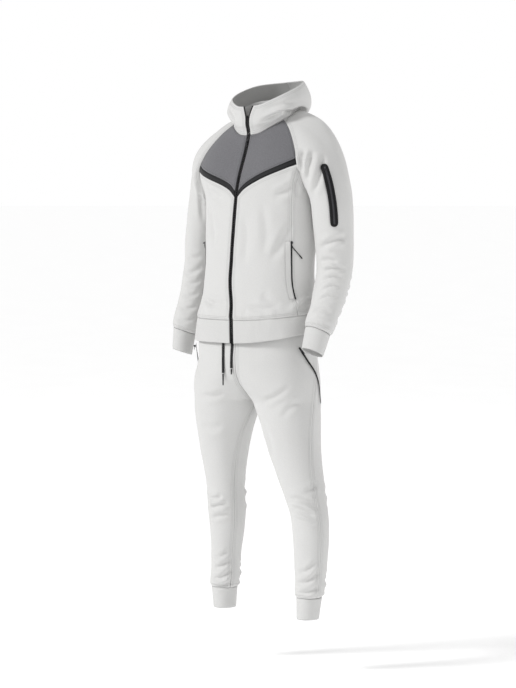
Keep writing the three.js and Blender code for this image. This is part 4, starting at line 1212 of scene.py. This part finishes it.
spots, along = resample(centre_line("zip_chain", 2), CHAIN_PITCH)
chain = teeth("front_zip_teeth", sheets["zip_chain"], spots, along, CHAIN_TOOTH, "teeth")
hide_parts("zip_chain")
spots, along = resample(centre_line("sleeve_pocket_zip", 3), POCKET_PITCH)
teeth("sleeve_pocket_zip_teeth", sheets["sleeve_pocket_zip"], spots, along, POCKET_TOOTH, "grey zip")

stitch_ring(
    "sleeve_pocket_stitches", "left arm", sheets["sleeve_pocket_surround"],
    RING_AWAY, RING_PITCH, RING_STITCH,
)

for name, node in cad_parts.items():
    if name.endswith("_slider") or name.endswith("_pull"):
        node.data.materials.clear()
        node.data.materials.append(LOOKS["metal"])


# The floor and the light
FLOOR_SIZE = 300
FLOOR = (0.9, 0.9, 0.9)
FLOOR_TINTS = ((0.95, 0.95, 0.95), (0.97, 0.97, 0.97))
FLOOR_GLOW = 0.25
WHITE = (1, 1, 1, 1)
SKY_LIGHT = 0.4
SKY_SEEN = 1.0
SUN_ENERGY = 1.95
SUN_ANGLE = math.radians(16)
SUN_PLACE = (-3.4, -4.2, 3.6)
AREA_LAMPS = (("fill", (4.8, -1.6, 1.0), 3.0, 42), ("back", (1.5, 4.5, 2.8), 2.0, 60))
LIT_POINT = (0, 0, -0.6)


def make_stage():
    bpy.ops.mesh.primitive_plane_add(size=FLOOR_SIZE, location=(0, 0, -NECK_HEIGHT))
    floor = bpy.context.object
    floor.name = "floor"
    look = Look("pale_floor", FLOOR, 0.9)
    look.tint(look.noise(3), *FLOOR_TINTS)
    look.shader.inputs["Emission Color"].default_value = WHITE
    look.shader.inputs["Emission Strength"].default_value = FLOOR_GLOW
    floor.data.materials.append(look.material)
    world = bpy.data.worlds.new("studio")
    scene.world = world
    world.use_nodes = True
    sky = world.node_tree.nodes["Background"]
    sky.inputs["Color"].default_value = WHITE
    bright = world.node_tree.nodes.new("ShaderNodeMapRange")
    bright.inputs["To Min"].default_value = SKY_LIGHT
    bright.inputs["To Max"].default_value = SKY_SEEN
    path = world.node_tree.nodes.new("ShaderNodeLightPath")
    world.node_tree.links.new(path.outputs["Is Camera Ray"], bright.inputs["Value"])
    world.node_tree.links.new(bright.outputs[0], sky.inputs["Strength"])
    scene.view_settings.view_transform = "Standard"
    sun = bpy.data.lights.new("key", "SUN")
    sun.energy = SUN_ENERGY
    sun.angle = SUN_ANGLE
    aim(sun, SUN_PLACE)
    for name, place, size, power in AREA_LAMPS:
        lamp = bpy.data.lights.new(name, "AREA")
        lamp.size = size
        lamp.energy = power
        aim(lamp, place)


def aim(lamp, place):
    holder = bpy.data.objects.new(lamp.name, lamp)
    holder.location = place
    ahead = Vector(LIT_POINT) - Vector(place)
    holder.rotation_euler = ahead.to_track_quat("-Z", "Y").to_euler()
    scene.collection.objects.link(holder)


make_stage()
